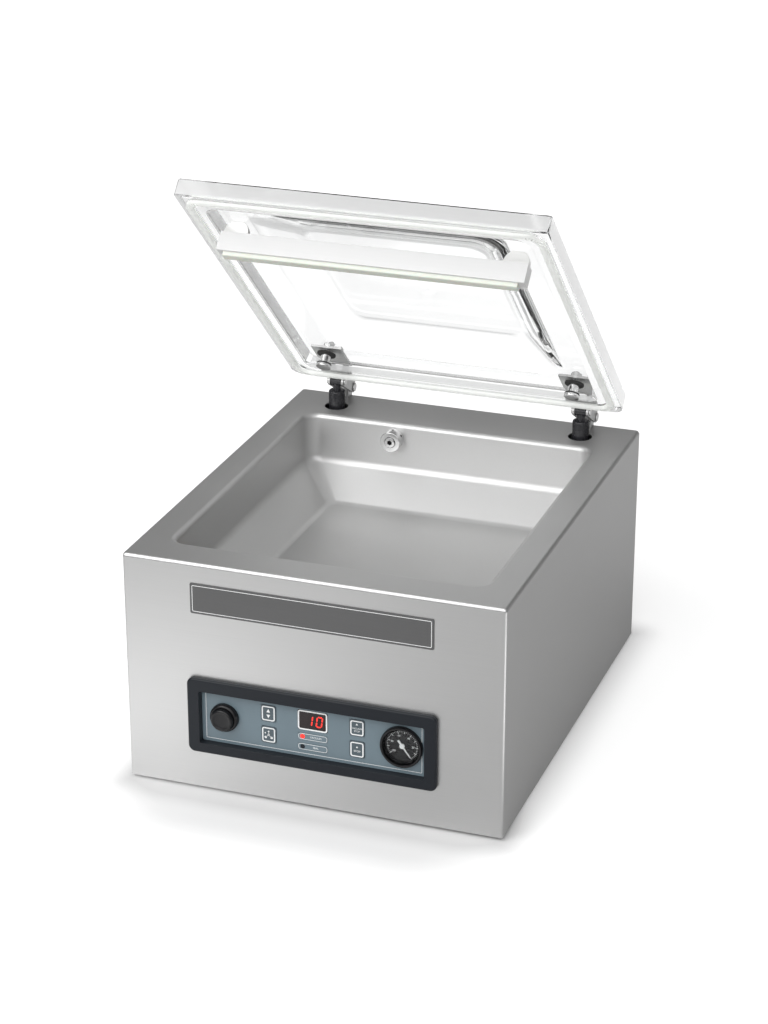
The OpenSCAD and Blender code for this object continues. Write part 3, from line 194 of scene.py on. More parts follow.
def pick(kind, test):
    """Selects the faces, edges or points that pass a test, and nothing else."""
    bpy.ops.mesh.select_mode(type=kind)
    bpy.ops.mesh.select_all(action="DESELECT")
    mesh = bmesh.from_edit_mesh(bpy.context.object.data)
    mesh.normal_update()
    parts = {"FACE": mesh.faces, "EDGE": mesh.edges, "VERT": mesh.verts}[kind]
    chosen = [part for part in parts if test(part)]
    if not chosen:
        raise RuntimeError(f"nothing to pick on {bpy.context.object.name}")
    for part in chosen:
        part.select_set(True)
    mesh.select_flush_mode()
    bmesh.update_edit_mesh(bpy.context.object.data)


def level(axis, value):
    """Test for an edge that lies at one value of an axis."""
    k = "xyz".index(axis)
    return lambda edge: all(abs(v.co[k] - value) < NEAR for v in edge.verts)


def along(axis):
    """Test for an edge that runs along an axis."""
    k = "xyz".index(axis)
    others = [i for i in range(3) if i != k]
    return lambda edge: all(abs(edge.verts[0].co[i] - edge.verts[1].co[i]) < NEAR for i in others)


def bevel(test, width, segments):
    """Rounds the edges that pass a test."""
    pick("EDGE", test)
    bpy.ops.mesh.bevel(offset=width, offset_type="OFFSET", segments=segments, profile=0.5,
                       affect="EDGES", clamp_overlap=False)


def extrude(*move):
    bpy.ops.mesh.extrude_region_move(TRANSFORM_OT_translate={"value": move})


def reshape(kind, low, high, radii):
    """Moves the corners of the selected rounded rectangle to new limits and corner radii, in metres."""
    mesh = bmesh.from_edit_mesh(bpy.context.object.data)
    mesh.verts.index_update()
    ring = {v.index: v.co.copy() for v in mesh.verts if v.select}
    middle = [(min(co[i] for co in ring.values()) + max(co[i] for co in ring.values())) / 2 for i in (0, 1)]
    for side, r in zip(CORNERS, radii):
        group = {k: co for k, co in ring.items() if all((co[i] - middle[i]) * side[i] > 0 for i in (0, 1))}
        edge = [side[i] * max(co[i] * side[i] for co in group.values()) for i in (0, 1)]
        old_r = [max(co[i] for co in group.values()) - min(co[i] for co in group.values()) for i in (0, 1)]
        old = [edge[i] - side[i] * old_r[i] for i in (0, 1)]
        new = [(high if side[i] > 0 else low)[i] - side[i] * r for i in (0, 1)]
        pick("VERT", lambda v: v.index in group)
        bpy.ops.transform.resize(value=(r / old_r[0], r / old_r[1], 1), center_override=(*old, 0))
        bpy.ops.transform.translate(value=(new[0] - old[0], new[1] - old[1], 0))
    tests = {"FACE": lambda f: len(f.verts) == len(ring) and all(v.index in ring for v in f.verts),
             "EDGE": lambda e: e.is_boundary and all(v.index in ring for v in e.verts)}
    pick(kind, tests[kind])


def loft(kind, start, stations):
    """Draws out the selected rounded rectangle through stations of (low, high, corner radii, height)."""
    for low, high, radii, z in stations:
        extrude(0, 0, z - start)
        reshape(kind, low, high, radii)
        start = z


def rounded_plane(name, low, high, z, r, steps=8):
    """Flat rounded rectangle that faces up, in metres."""
    clear()
    bpy.ops.mesh.primitive_plane_add(size=1, location=((low[0] + high[0]) / 2, (low[1] + high[1]) / 2, z))
    bpy.context.object.scale = (high[0] - low[0], high[1] - low[1], 1)
    plane = settled(name)
    with editing(plane):
        bpy.ops.mesh.select_all(action="SELECT")
        bpy.ops.mesh.bevel(offset=r, segments=steps, affect="VERTICES", clamp_overlap=False)
    return plane


def hollowed(line):
    """Leaves only a line of a flat face along its edge, in edit mode and metres."""
    bpy.ops.mesh.select_all(action="SELECT")
    bpy.ops.mesh.select_mode(type="FACE")
    bpy.ops.mesh.inset(thickness=line, depth=0)
    bpy.ops.mesh.delete(type="FACE")


def turn_points(centre, r, start, end, steps):
    """Points of an arc, with angles in degrees."""
    turns = [math.radians(start + (end - start) * k / steps) for k in range(steps + 1)]
    return [(centre[0] + r * math.cos(t), centre[1] + r * math.sin(t)) for t in turns]


def eased(first, corner, last, steps):
    """Points that round a corner between two others."""
    shares = [k / steps for k in range(steps + 1)]
    return [tuple((1 - t) ** 2 * a + 2 * t * (1 - t) * b + t * t * c for a, b, c in zip(first, corner, last))
            for t in shares]


def outward():
    """Merges doubles and turns all faces outwards, in edit mode."""
    bpy.ops.mesh.select_all(action="SELECT")
    bpy.ops.mesh.remove_doubles(threshold=DOUBLES)
    bpy.ops.mesh.normals_make_consistent(inside=False)


def applied(obj, kind, **settings):
    """Adds a modifier with its settings and applies it."""
    only(obj)
    modifier = obj.modifiers.new(kind.lower(), kind)
    for key, value in settings.items():
        setattr(modifier, key, value)
    bpy.ops.object.modifier_apply(modifier=modifier.name)
    return obj


def soften(obj, width, segments=2, angle=35):
    """Rounds every edge that is sharper than an angle."""
    return applied(obj, "BEVEL", width=width / 1000, segments=segments, limit_method="ANGLE",
                   angle_limit=math.radians(angle), use_clamp_overlap=True, harden_normals=False)


def cut(obj, *cutters):
    """Takes cutters away from a piece."""
    for cutter in cutters:
        applied(obj, "BOOLEAN", object=cutter, operation="DIFFERENCE", solver="EXACT")
        bpy.data.objects.remove(cutter)
    return obj


def joined(name, *objs):
    """Joins pieces into the first of them."""
    clear()
    for obj in objs:
        obj.select_set(True)
    bpy.context.view_layer.objects.active = objs[0]
    bpy.ops.object.join()
    return settled(name)


def block(name, low, high):
    """Box between two corners, in millimetres."""
    clear()
    bpy.ops.mesh.primitive_cube_add(size=1, location=mm(*[(a + b) / 2 for a, b in zip(low, high)]))
    bpy.context.object.scale = mm(*[b - a for a, b in zip(low, high)])
    return settled(name)


def slab(name, x, z, w, h, r, front, back, steps=6, line=0):
    """Plate that faces the front, with rounded corners, or only a line round it, in millimetres."""
    clear()
    bpy.ops.mesh.primitive_plane_add(size=1, location=mm(x, front, z), rotation=TO_FRONT)
    bpy.context.object.scale = mm(w, h, 1000)
    plate = settled(name)
    with editing(plate):
        bpy.ops.mesh.select_all(action="SELECT")
        if r:
            bpy.ops.mesh.bevel(offset=r / 1000, segments=steps, affect="VERTICES")
        if line:
            hollowed(line / 1000)
        bpy.ops.mesh.select_all(action="SELECT")
        extrude(0, (back - front) / 1000, 0)
        outward()
    return plate


def outlined(name, x, z, w, h, r, line, front, back):
    """Printed outline of a rounded rectangle that faces the front, in millimetres."""
    return slab(name, x, z, w, h, r, front, back, line=line)


def rod(name, start, end, r, sides=48):
    """Plain round bar between two points, in millimetres, to cut holes with."""
    run = Vector(end) - Vector(start)
    turn = Vector((0, 0, 1)).rotation_difference(run).to_euler()
    clear()
    bpy.ops.mesh.primitive_cylinder_add(vertices=sides, radius=r / 1000, depth=run.length / 1000,
                                        location=mm(*((Vector(start) + Vector(end)) / 2)), rotation=turn)
    return settled(name)


def turned(name, profile, place, heading=(0, 0, 1), steps=64):
    """Turned piece: a profile of (radius, distance) in millimetres, drawn point by point and spun."""
    clear()
    bpy.ops.mesh.primitive_plane_add(size=0.001)
    obj = bpy.context.object
    with editing(obj):
        bpy.ops.mesh.select_mode(type="VERT")
        bpy.ops.mesh.select_all(action="SELECT")
        bpy.ops.mesh.merge(type="CENTER")
        bpy.ops.mesh.select_all(action="SELECT")
        bpy.ops.transform.translate(value=mm(profile[0][0], 0, profile[0][1]))
        for (r0, h0), (r1, h1) in zip(profile, profile[1:]):
            extrude(*mm(r1 - r0, 0, h1 - h0))
        bpy.ops.mesh.select_all(action="SELECT")
        bpy.ops.mesh.spin(steps=steps, angle=2 * math.pi, center=(0, 0, 0), axis=(0, 0, 1))
        outward()
    obj.location = mm(*place)
    obj.rotation_euler = Vector((0, 0, 1)).rotation_difference(Vector(heading)).to_euler()
    only(obj)
    return settled(name)


def words(name, text, size, x, z, front, thick=0.06):
    """Lettering that faces the front, made a mesh, in millimetres."""
    clear()
    bpy.ops.object.text_add(location=mm(x, front, z), rotation=TO_FRONT)
    obj = bpy.context.object
    obj.data.body = text
    obj.data.size = size / 1000
    obj.data.align_x = "CENTER"
    obj.data.align_y = "CENTER"
    obj.data.extrude = thick / 1000
    obj.data.resolution_u = 3
    bpy.ops.object.convert(target="MESH")
    word = settled(name)
    with editing(word):
        outward()
    return word


def opened(obj):
    """Swings a piece that is modelled on the closed lid to the open lid."""
    pivot = Vector(mm(0, 270, 298))
    turn = Matrix.Rotation(-sizes().lid_open, 4, "X")
    swing = Matrix.Translation(pivot) @ turn @ Matrix.Translation(-pivot)
    only(obj)
    obj.matrix_world = swing
    return settled(obj.name)


def spun(obj, x, z, turn):
    """Turns a piece that faces the front about a point, in millimetres and radians."""
    there, back = Matrix.Translation(mm(x, 0, z)), Matrix.Translation(mm(-x, 0, -z))
    obj.data.transform(there @ Matrix.Rotation(turn, 4, "Y") @ back)
    return obj


def painted(obj, *names):
    """Gives a piece its finishes."""
    obj.data.materials.clear()
    for name in names:
        obj.data.materials.append(finish(name))
    return obj


def paint_faces(obj, slot, test):
    """Gives the faces that pass a test another of the piece's materials."""
    for face in obj.data.polygons:
        if test(face):
            face.material_index = slot


def kept(obj, body, nodes, slot, *names, smooth=35):
    """Paints and smooths a finished piece, sets it on its body and lets it stand for its CAD nodes."""
    if names:
        painted(obj, *names)
    only(obj)
    bpy.ops.object.shade_smooth_by_angle(angle=math.radians(smooth))
    applied(obj, "WEIGHTED_NORMAL", keep_sharp=True, weight=80)
    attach(obj, body)
    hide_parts(*nodes)
    return obj


def refine(node, name, body, width, slot, made):
    """Keeps a copy of a CAD node with its edges rounded, to stand for the node."""
    source = frame["nodes"][node]
    hidden = source.hide_viewport
    source.hide_viewport = False
    only(source)
    bpy.ops.object.duplicate()
    bpy.ops.object.parent_clear(type="CLEAR")
    source.hide_viewport = hidden
    piece = settled(name)
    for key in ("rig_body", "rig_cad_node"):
        del piece[key]
    with editing(piece):
        bpy.ops.mesh.select_all(action="SELECT")
        bpy.ops.mesh.remove_doubles(threshold=DOUBLES)
        bpy.ops.mesh.dissolve_limited(angle_limit=math.radians(1))
    kept(soften(piece, width, 2, 40), body, [node], slot, made)


# Finishes


def wired(tree, kind, *inputs, **settings):
    """New shader node with its settings, its inputs linked or set in their order."""
    node = tree.nodes.new("ShaderNode" + kind)
    for key, value in settings.items():
        setattr(node, key, value)
    for socket, value in zip(node.inputs, inputs):
        if isinstance(value, bpy.types.NodeSocket):
            tree.links.new(value, socket)
        elif value is not None:
            socket.default_value = value
    return node


def finish(name):
    """Material by its name in the table, made at its first use."""
    return bpy.data.materials.get(name) or new_finish(name, **FINISHES[name])


def new_finish(name, colour, share=1.0, grain=80, vary=0.05, rough=(0.4, 0.5), relief=0.1, depth=0.05,
               cloud=6.0, detail=4.0, **sockets):
    """Procedural finish: fine grain and slow clouds move its colour, roughness and relief."""
    weight, ramp_ends, gloss_ends = 0.6, (0.3, 0.95), (0.4, 0.9)
    colour = [c * share for c in toned(colour)]
    made = bpy.data.materials.new(name)
    made.use_nodes = True
    tree = made.node_tree
    shade = tree.nodes["Principled BSDF"]
    place = wired(tree, "TexCoord").outputs["Object"]
    stretch = wired(tree, "Mapping", place, None, None, grain if isinstance(grain, tuple) else (grain,) * 3)
    fine = wired(tree, "TexNoise", stretch.outputs["Vector"])
    slow = wired(tree, "TexNoise", place)
    for noise, scale, levels in ((fine, 1.0, detail), (slow, cloud, 2.0)):
        noise.inputs["Scale"].default_value = scale
        noise.inputs["Detail"].default_value = levels
    half = wired(tree, "Math", slow.outputs["Fac"], weight, operation="MULTIPLY").outputs[0]
    both = wired(tree, "Math", fine.outputs["Fac"], weight, half, operation="MULTIPLY_ADD").outputs[0]
    ramp = wired(tree, "ValToRGB", both)
    for element, place_on, change in zip(ramp.color_ramp.elements, ramp_ends, (1 - vary, 1 + vary)):
        element.position = place_on
        element.color = (*[min(c * change, 1) for c in colour], 1)
    gloss = wired(tree, "MapRange", both, *gloss_ends, *rough).outputs["Result"]
    bump = wired(tree, "Bump", relief, depth / 1000)
    tree.links.new(fine.outputs["Fac"], bump.inputs["Height"])
    tree.links.new(ramp.outputs["Color"], shade.inputs["Base Color"])
    tree.links.new(gloss, shade.inputs["Roughness"])
    tree.links.new(bump.outputs["Normal"], shade.inputs["Normal"])
    for socket, value in sockets.items():
        if isinstance(value, str):
            value = (*toned(value), 1)
        shade.inputs[socket.replace("_", " ")].default_value = value
    return made


def toned(colour):
    """Colour from its name in the panel's colours, or the plain numbers given."""
    return getattr(colours(), colour) if isinstance(colour, str) else colour


STEEL = dict(depth=0.02, Metallic=1.0)
FILM = dict(colour="film", grain=1200, rough=(0.3, 0.4), depth=0.01, cloud=12)
# Edge of the clear sheet, which passes on some of the light (transmission). Its two finishes below add a
# painted glow (emission) for light carried inside the sheet; the right side, which the lamps leave in shade,
# glows twice as much
MILLED = dict(colour="acrylic", share=0.55, grain=(30, 30, 600), vary=0.03, rough=(0.3, 0.45), relief=0.2,
              cloud=7, IOR=1.38, Transmission_Weight=0.35)
# What differs from the usual finish
FINISHES = {
    "brushed_casing_steel": dict(STEEL, colour="casing", grain=(4, 4, 1400), rough=(0.34, 0.44), relief=0.25,
                                 cloud=3),
    "satin_deck_steel": dict(STEEL, colour="deck", grain=500, vary=0.04, rough=(0.48, 0.56), relief=0.12,
                             cloud=5),
    "bright_polished_steel": dict(colour="polished", grain=300, vary=0.03, rough=(0.12, 0.2), relief=0.04,
                                  depth=0.01, cloud=40, Metallic=1.0),
    "drawn_aluminium": dict(colour="aluminium", grain=(3, 700, 700), vary=0.03, rough=(0.3, 0.42),
                            relief=0.15, depth=0.01, cloud=8, Metallic=1.0),
    "cast_clear_acrylic": dict(colour="acrylic", grain=9, vary=0.004, rough=(0.0, 0.03), relief=0.35,
                               depth=1.2, cloud=4, detail=1.0, IOR=1.32, Transmission_Weight=1.0),
    # Painted glow on the lid's milled edges, stronger on the right side as painted light where the lamps
    # leave shade
    "milled_acrylic_edge_painted_glow": dict(MILLED, Emission_Strength=0.26),
    "milled_acrylic_side_painted_glow": dict(MILLED, Emission_Strength=0.52),
    "white_coated_rail": dict(colour=(0.72, 0.72, 0.72), grain=(3, 700, 700), vary=0.02, rough=(0.34, 0.42),
                              depth=0.01, cloud=8),
    # Faint emission: a painted glow that lightens the gasket
    "pale_gasket_silicone": dict(colour="gasket", grain=200, IOR=1.3, Transmission_Weight=0.6,
                                 Emission_Strength=0.1),
    "cream_strip_silicone": dict(colour="strip", grain=(8, 300, 300), rough=(0.5, 0.62), relief=0.15,
                                 cloud=20, Subsurface_Weight=0.15),
    "matt_black_rubber": dict(colour=(0.02, 0.02, 0.02), grain=500, vary=0.2, rough=(0.6, 0.75), relief=0.3,
                              depth=0.1),
    "dark_bezel_plastic": dict(colour="bezel", grain=1500, vary=0.12, rough=(0.28, 0.36), relief=0.15,
                               depth=0.02, detail=2.0, Specular_IOR_Level=0.22),
    "moulded_black_plastic": dict(colour=(0.008, 0.008, 0.009), grain=900, vary=0.15, rough=(0.22, 0.3),
                                  relief=0.08, depth=0.02, Specular_IOR_Level=0.35),
    "slate_panel_film": dict(FILM, relief=0.15),
    "dark_key_film": dict(FILM, share=0.5),
    "white_print": dict(colour="mark", grain=900, vary=0.03, relief=0.05),
    "dark_display_lens": dict(colour=(0.010, 0.003, 0.003), grain=400, vary=0.2, rough=(0.1, 0.16),
                              relief=0.03),
    "lit_red": dict(colour="digits", grain=600, vary=0.1, relief=0.05, Emission_Color="digits",
                    Emission_Strength=1.1),
    "name_plate_grey": dict(colour="plate", grain=(10, 10, 900), vary=0.06, relief=0.15, depth=0.01),
    "gas_spring_black": dict(colour="spring", grain=200, vary=0.3, rough=(0.2, 0.34), relief=0.15),
    "clear_gauge_glass": dict(colour=(0.97, 0.98, 0.98), grain=20, vary=0.005, rough=(0.0, 0.02), relief=0.05,
                              detail=1.0, IOR=1.18, Transmission_Weight=1.0),
    "painted_pump_iron": dict(colour=(0.16, 0.17, 0.18), grain=250, vary=0.15, rough=(0.5, 0.65), relief=0.5,
                              depth=0.3, Metallic=0.3),
    "motor_enamel": dict(colour=(0.05, 0.075, 0.10), grain=150, vary=0.08, rough=(0.3, 0.4), relief=0.15,
                         depth=0.1),
    "varnished_winding": dict(colour=(0.22, 0.10, 0.03), grain=(30, 30, 900), vary=0.2, rough=(0.3, 0.45),
                              relief=0.6, depth=0.4),
    "lacquered_board_green": dict(colour=(0.01, 0.09, 0.035), grain=300, vary=0.15, rough=(0.35, 0.5),
                                  relief=0.2),
    "brown_seal_tape": dict(colour=(0.22, 0.13, 0.07), grain=900, vary=0.12, rough=(0.5, 0.6), relief=0.4),
}


# Casing, deck and rear


class PACKER_OT_casing(bpy.types.Operator):
    """Front and side sheet, bent at the front corners, with a hem at its foot"""

    bl_idname = "packer.casing"
    bl_label = "Casing"

    def execute(self, context):
        low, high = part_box("casing_wrap")
        shell = block("casing_sheet", [v * 1000 for v in low], [v * 1000 for v in high])
        hem = (0.0082, 0.0088)
        with editing(shell):
            pick("FACE", lambda f: abs(f.normal.z) > 0.9 or f.normal.y > 0.9)
            bpy.ops.mesh.delete(type="FACE")
            bevel(lambda e: along("z")(e) and e.verts[0].co.y < 0, sizes().casing_bend, 6)
            for z in hem:
                bpy.ops.mesh.select_all(action="SELECT")
                bpy.ops.mesh.bisect(plane_co=(0, 0, z), plane_no=(0, 0, 1))
            pick("FACE", lambda f: hem[0] < f.calc_center_median().z < hem[1])
            bpy.ops.transform.shrink_fatten(value=-0.0003)
        applied(shell, "SOLIDIFY", thickness=sizes().sheet, offset=-1, use_even_offset=True)
        flanges = [block("flange", (side * 215.5 - 8, 277, 25.5), (side * 215.5 + 8, 278.5, 269))
                   for side in (-1, 1)]
        shell = joined("casing_sheet", shell, *flanges)
        cut(shell, slab("window", 0, PANEL_Z, 273.6, 69.6, 1, -290, -270))
        soften(shell, 0.25, 2, 50)
        kept(shell, "chassis", ["casing_wrap"], "stainless", "brushed_casing_steel")
        return {"FINISHED"}


class PACKER_OT_deck(bpy.types.Operator):
    """Deck with a rolled edge and the chamber drawn down from it in one sheet"""

    bl_idname = "packer.deck"
    bl_label = "Deck and chamber"

    def chamber_station(self, inset, z):
        """Ring of the chamber at an inset from the rim and a height."""
        rim = sizes().rim
        slope = max(inset - rim, 0)
        front = min(inset, rim) + slope * 20 / 44
        r = sizes().wall_corner + rim - min(inset, rim) - 0.006 * min(slope / 0.044, 1)
        return ((-0.186 - rim + inset, -0.232 - rim + front), (0.186 + rim - inset, 0.199 + rim - inset),
                [r] * 4, z)

    def execute(self, context):
        top = 0.284
        rim, bend, roll = sizes().rim, sizes().wall_bend, sizes().deck_roll
        turn = math.degrees(math.atan2(44, 39))
        wall = (rim + bend, 0.223 + bend * math.tan(math.radians(turn / 2)))
        floor = (rim + 0.044 + bend * math.tan(math.radians(45 - turn / 2)), 0.184 + bend)
        section = turn_points((0, top - rim), rim, 90, 0, 8)[1:]
        section += turn_points(wall, bend, 180, 180 + turn, 8) + turn_points(floor, bend, 180 + turn, 270, 8)
        low, high, radii, z = self.chamber_station(0, top)
        deck = rounded_plane("deck_and_chamber", low, high, top, radii[0])
        with editing(deck):
            pick("FACE", lambda f: True)
            loft("FACE", top, [self.chamber_station(*point) for point in section])
            pick("FACE", lambda f: abs(f.calc_center_median().z - top) < NEAR)
            bpy.ops.mesh.delete(type="ONLY_FACE")
            pick("EDGE", lambda e: e.is_boundary)
            edge = turn_points((0, top - roll), roll, 90, 0, 6)
            rings = [(0.225 - roll + x, 0.280 - roll + x, z, 0.0022 + x * 0.25) for x, z in edge]
            rings += [(0.2232, 0.2782, top - roll, 0.0026), (0.2232, 0.2782, 0.270, 0.0026)]
            loft("EDGE", top, [((-x, -y), (x, y), [r] * 4, z) for x, y, z, r in rings])
            bpy.ops.mesh.select_all(action="SELECT")
            bpy.ops.mesh.normals_make_consistent(inside=False)
        if max(deck.data.polygons, key=lambda f: f.area).normal.z < 0:
            deck.data.flip_normals()
        applied(deck, "SOLIDIFY", thickness=sizes().deck_sheet, offset=-1, use_even_offset=False)
        holes = [rod("hole", (side * SPRING_X, 233.54, 270), (side * SPRING_X, 233.54, 300), 15)
                 for side in (-1, 1)]
        holes += [rod("hole", (side * 110, -185, 170), (side * 110, -185, 190), 11.3) for side in (-1, 1)]
        x, y, z = PORT
        holes.append(rod("hole", (x, y - 9, z), (x, y + 16, z), 6.3))
        cut(deck, *holes)
        kept(deck, "chassis", ["deck_chamber"], "chamber_steel", "satin_deck_steel")
        return {"FINISHED"}


class PACKER_OT_rear(bpy.types.Operator):
    """Rear panel, its screws, the mains inlet, the base tray and the feet"""

    bl_idname = "packer.rear"
    bl_label = "Rear and base"

    def execute(self, context):
        for row in (
            ("rear_panel", "rear_sheet", "chassis", 0.3, "stainless", "brushed_casing_steel"),
            ("rear_screws", "rear_screw_set", "chassis", 0.3, "polished_steel", "bright_polished_steel"),
            ("mains_inlet", "mains_socket", "chassis", 0.5, "black_plastic", "moulded_black_plastic"),
            ("base_tray", "base_sheet", "chassis", 0.4, "stainless", "brushed_casing_steel"),
            ("rubber_feet", "rubber_foot_set", "chassis", 0.8, "black_rubber", "matt_black_rubber"),
        ):
            refine(*row)
        return {"FINISHED"}


# Front


class PACKER_OT_name_plate(bpy.types.Operator):
    """Bare name plate with a thin light border"""

    bl_idname = "packer.name_plate"
    bl_label = "Name plate"

    def execute(self, context):
        plate = slab("bare_name_plate", 0, 241, 287, 37, 2, -281, -280)
        soften(plate, 0.3, 2, 50)
        painted(plate, "name_plate_grey")
        border = painted(outlined("border", 0, 241, 282, 32, 1.6, 0.7, -281.05, -280.9), "white_print")
        plate = joined("bare_name_plate", plate, border)
        kept(plate, "chassis", ["name_plate"], "plate_grey")
        return {"FINISHED"}


class PACKER_OT_bezel(bpy.types.Operator):
    """Bezel with a broad rounded frame and a sleeve into the casing"""

    bl_idname = "packer.bezel"
    bl_label = "Bezel"

    def execute(self, context):
        bezel = slab("panel_frame", 0, 97, 298, 93, 8, -286, -280, 8)
        with editing(bezel):
            bevel(level("y", -0.286), sizes().bezel_round, 5)
        sleeve = slab("sleeve", 0, PANEL_Z, 273, 69, 1, -281, -272)
        applied(bezel, "BOOLEAN", object=sleeve, operation="UNION", solver="EXACT")
        bpy.data.objects.remove(sleeve)
        cut(bezel, slab("window", 0, PANEL_Z, 269, 65, 2, -295, -275),
            slab("window", 0, PANEL_Z, 261, 57, 2, -280, -260))
        soften(bezel, 1.3, 3, 40)
        kept(bezel, "chassis", ["panel_bezel"], "dark_plastic", "dark_bezel_plastic")
        return {"FINISHED"}


# Middles of the keys, and heights of the lamp bars, in millimetres
KEYS = {"cursor_key": (-53, 110.4), "program_key": (-53, 83.6), "vacuum_key": (53, 110.4),
        "stop_key": (53, 83.6)}
LAMPS = (88.8, 76.0)


class PACKER_OT_panel(bpy.types.Operator):
    """Panel plate with its printed outline"""

    bl_idname = "packer.panel"
    bl_label = "Panel plate"

    def execute(self, context):
        plate = slab("panel_film_plate", 0, PANEL_Z, 268.4, 64.4, 2, -277, -275)
        holes = [slab("hole", x, z, 18.6, 21.1, 2.5, -280, -270) for x, z in KEYS.values()]
        holes.append(slab("hole", 0, DISPLAY_Z, 36.1, 25.1, 2, -280, -270))
        holes += [slab("hole", 0, z, 36.1, 9.1, 3, -280, -270) for z in LAMPS]
        holes += [rod("hole", (x, -280, DIAL_Z), (x, -270, DIAL_Z), r)
                  for x, r in ((-DIAL_X, 11.3), (DIAL_X, 22.3))]
        cut(plate, *holes)
        posts = [rod("post", (x, -275.2, PANEL_Z + z), (x, -263.6, PANEL_Z + z), 3, 24)
                 for x in (-72, 72) for z in (-23, 23)]
        plate = painted(joined("panel_film_plate", plate, *posts), "slate_panel_film")
        outline = painted(outlined("outline", 0, PANEL_Z, 259, 57, 1.2, 0.55, -277.06, -276.95),
                          "white_print")
        plate = joined("panel_film_plate", plate, outline)
        kept(plate, "chassis", ["panel_plate"], "panel_film")
        return {"FINISHED"}


def arrow(name, x, z, half, rise, front):
    """Printed triangle that points up, or down for a negative rise, in millimetres."""
    mark = slab(name, x, z, 2 * half, abs(rise), 0, front, front + PRINT)
    with editing(mark):
        tip = (z + rise / 2) / 1000
        pick("VERT", lambda v: abs(v.co.z - tip) < NEAR)
        bpy.ops.transform.resize(value=(0.02, 1, 1), center_override=(x / 1000, front / 1000, tip))
    return mark


class PACKER_OT_keys(bpy.types.Operator):
    """Four keys with printed outlines and marks"""

    bl_idname = "packer.keys"
    bl_label = "Keys"

    def marks(self, name, x, z, front):
        if name == "cursor_key":
            return [arrow("mark", x, z + 3.6, 2.2, 4.4, front), arrow("mark", x, z - 3.6, 2.2, -4.4, front)]
        if name == "program_key":
            spots = [(0, 0), (-3.6, -3.4), (3.6, -3.4), (0, 4.2), (-4.0, 2.0)]
            made = [turned("mark", [(0, 0), (r, 0), (r, PRINT), (0, PRINT)], (x + a, front + PRINT, z + b),
                           FORWARD, 20)
                    for (a, b), r in zip(spots, (1.3, 1.5, 1.5, 1.0, 0.8))]
            for a, b in spots[1:4]:
                run = math.hypot(a, b)
                bar = slab("mark", x, z + run / 2, 0.5, run, 0, front, front + PRINT)
                made.append(spun(bar, x, z, math.atan2(a, b)))
            return made
        if name == "vacuum_key":
            return [arrow("mark", x, z + 4.8, 1.3, 2.2, front),
                    words("mark", "VACUUM", 2.9, x, z - 0.6, front + 0.05),
                    words("mark", "STOP", 2.9, x, z - 4.0, front + 0.05)]
        return [arrow("mark", x, z + 3.2, 1.3, 2.2, front),
                words("mark", "STOP", 3.4, x, z - 2.2, front + 0.05)]

    def execute(self, context):
        for node, (x, z) in KEYS.items():
            front = -277.9
            cap = slab("cap", x, z, 18, 20.5, 2.5, front, -275)
            flange = slab("flange", x, z, 20.4, 22.9, 2.5, -275, -273.8)
            soften(cap, 0.35, 2, 50)
            line = outlined("line", x, z, 15.6, 18.1, 2.6, sizes().print_line * 1000, front - 0.06,
                            front + 0.05)
            key = painted(joined(node + "_cap", cap, flange), "dark_key_film")
            prints = painted(joined("prints", line, *self.marks(node, x, z, front - 0.06)), "white_print")
            key = joined(node + "_cap", key, prints)
            kept(key, node, [node], "panel_film")
        return {"FINISHED"}


# Bars of a seven-segment digit as (across, up, upright), in half widths and half heights
DIGIT_BARS = {"top": (0, 1, False), "middle": (0, 0, False), "foot": (0, -1, False),
              "upper_left": (-1, 0.5, True), "upper_right": (1, 0.5, True), "lower_left": (-1, -0.5, True),
              "lower_right": (1, -0.5, True)}
DIGITS = {1: ("upper_right", "lower_right"),
          0: ("top", "foot", "upper_left", "upper_right", "lower_left", "lower_right")}


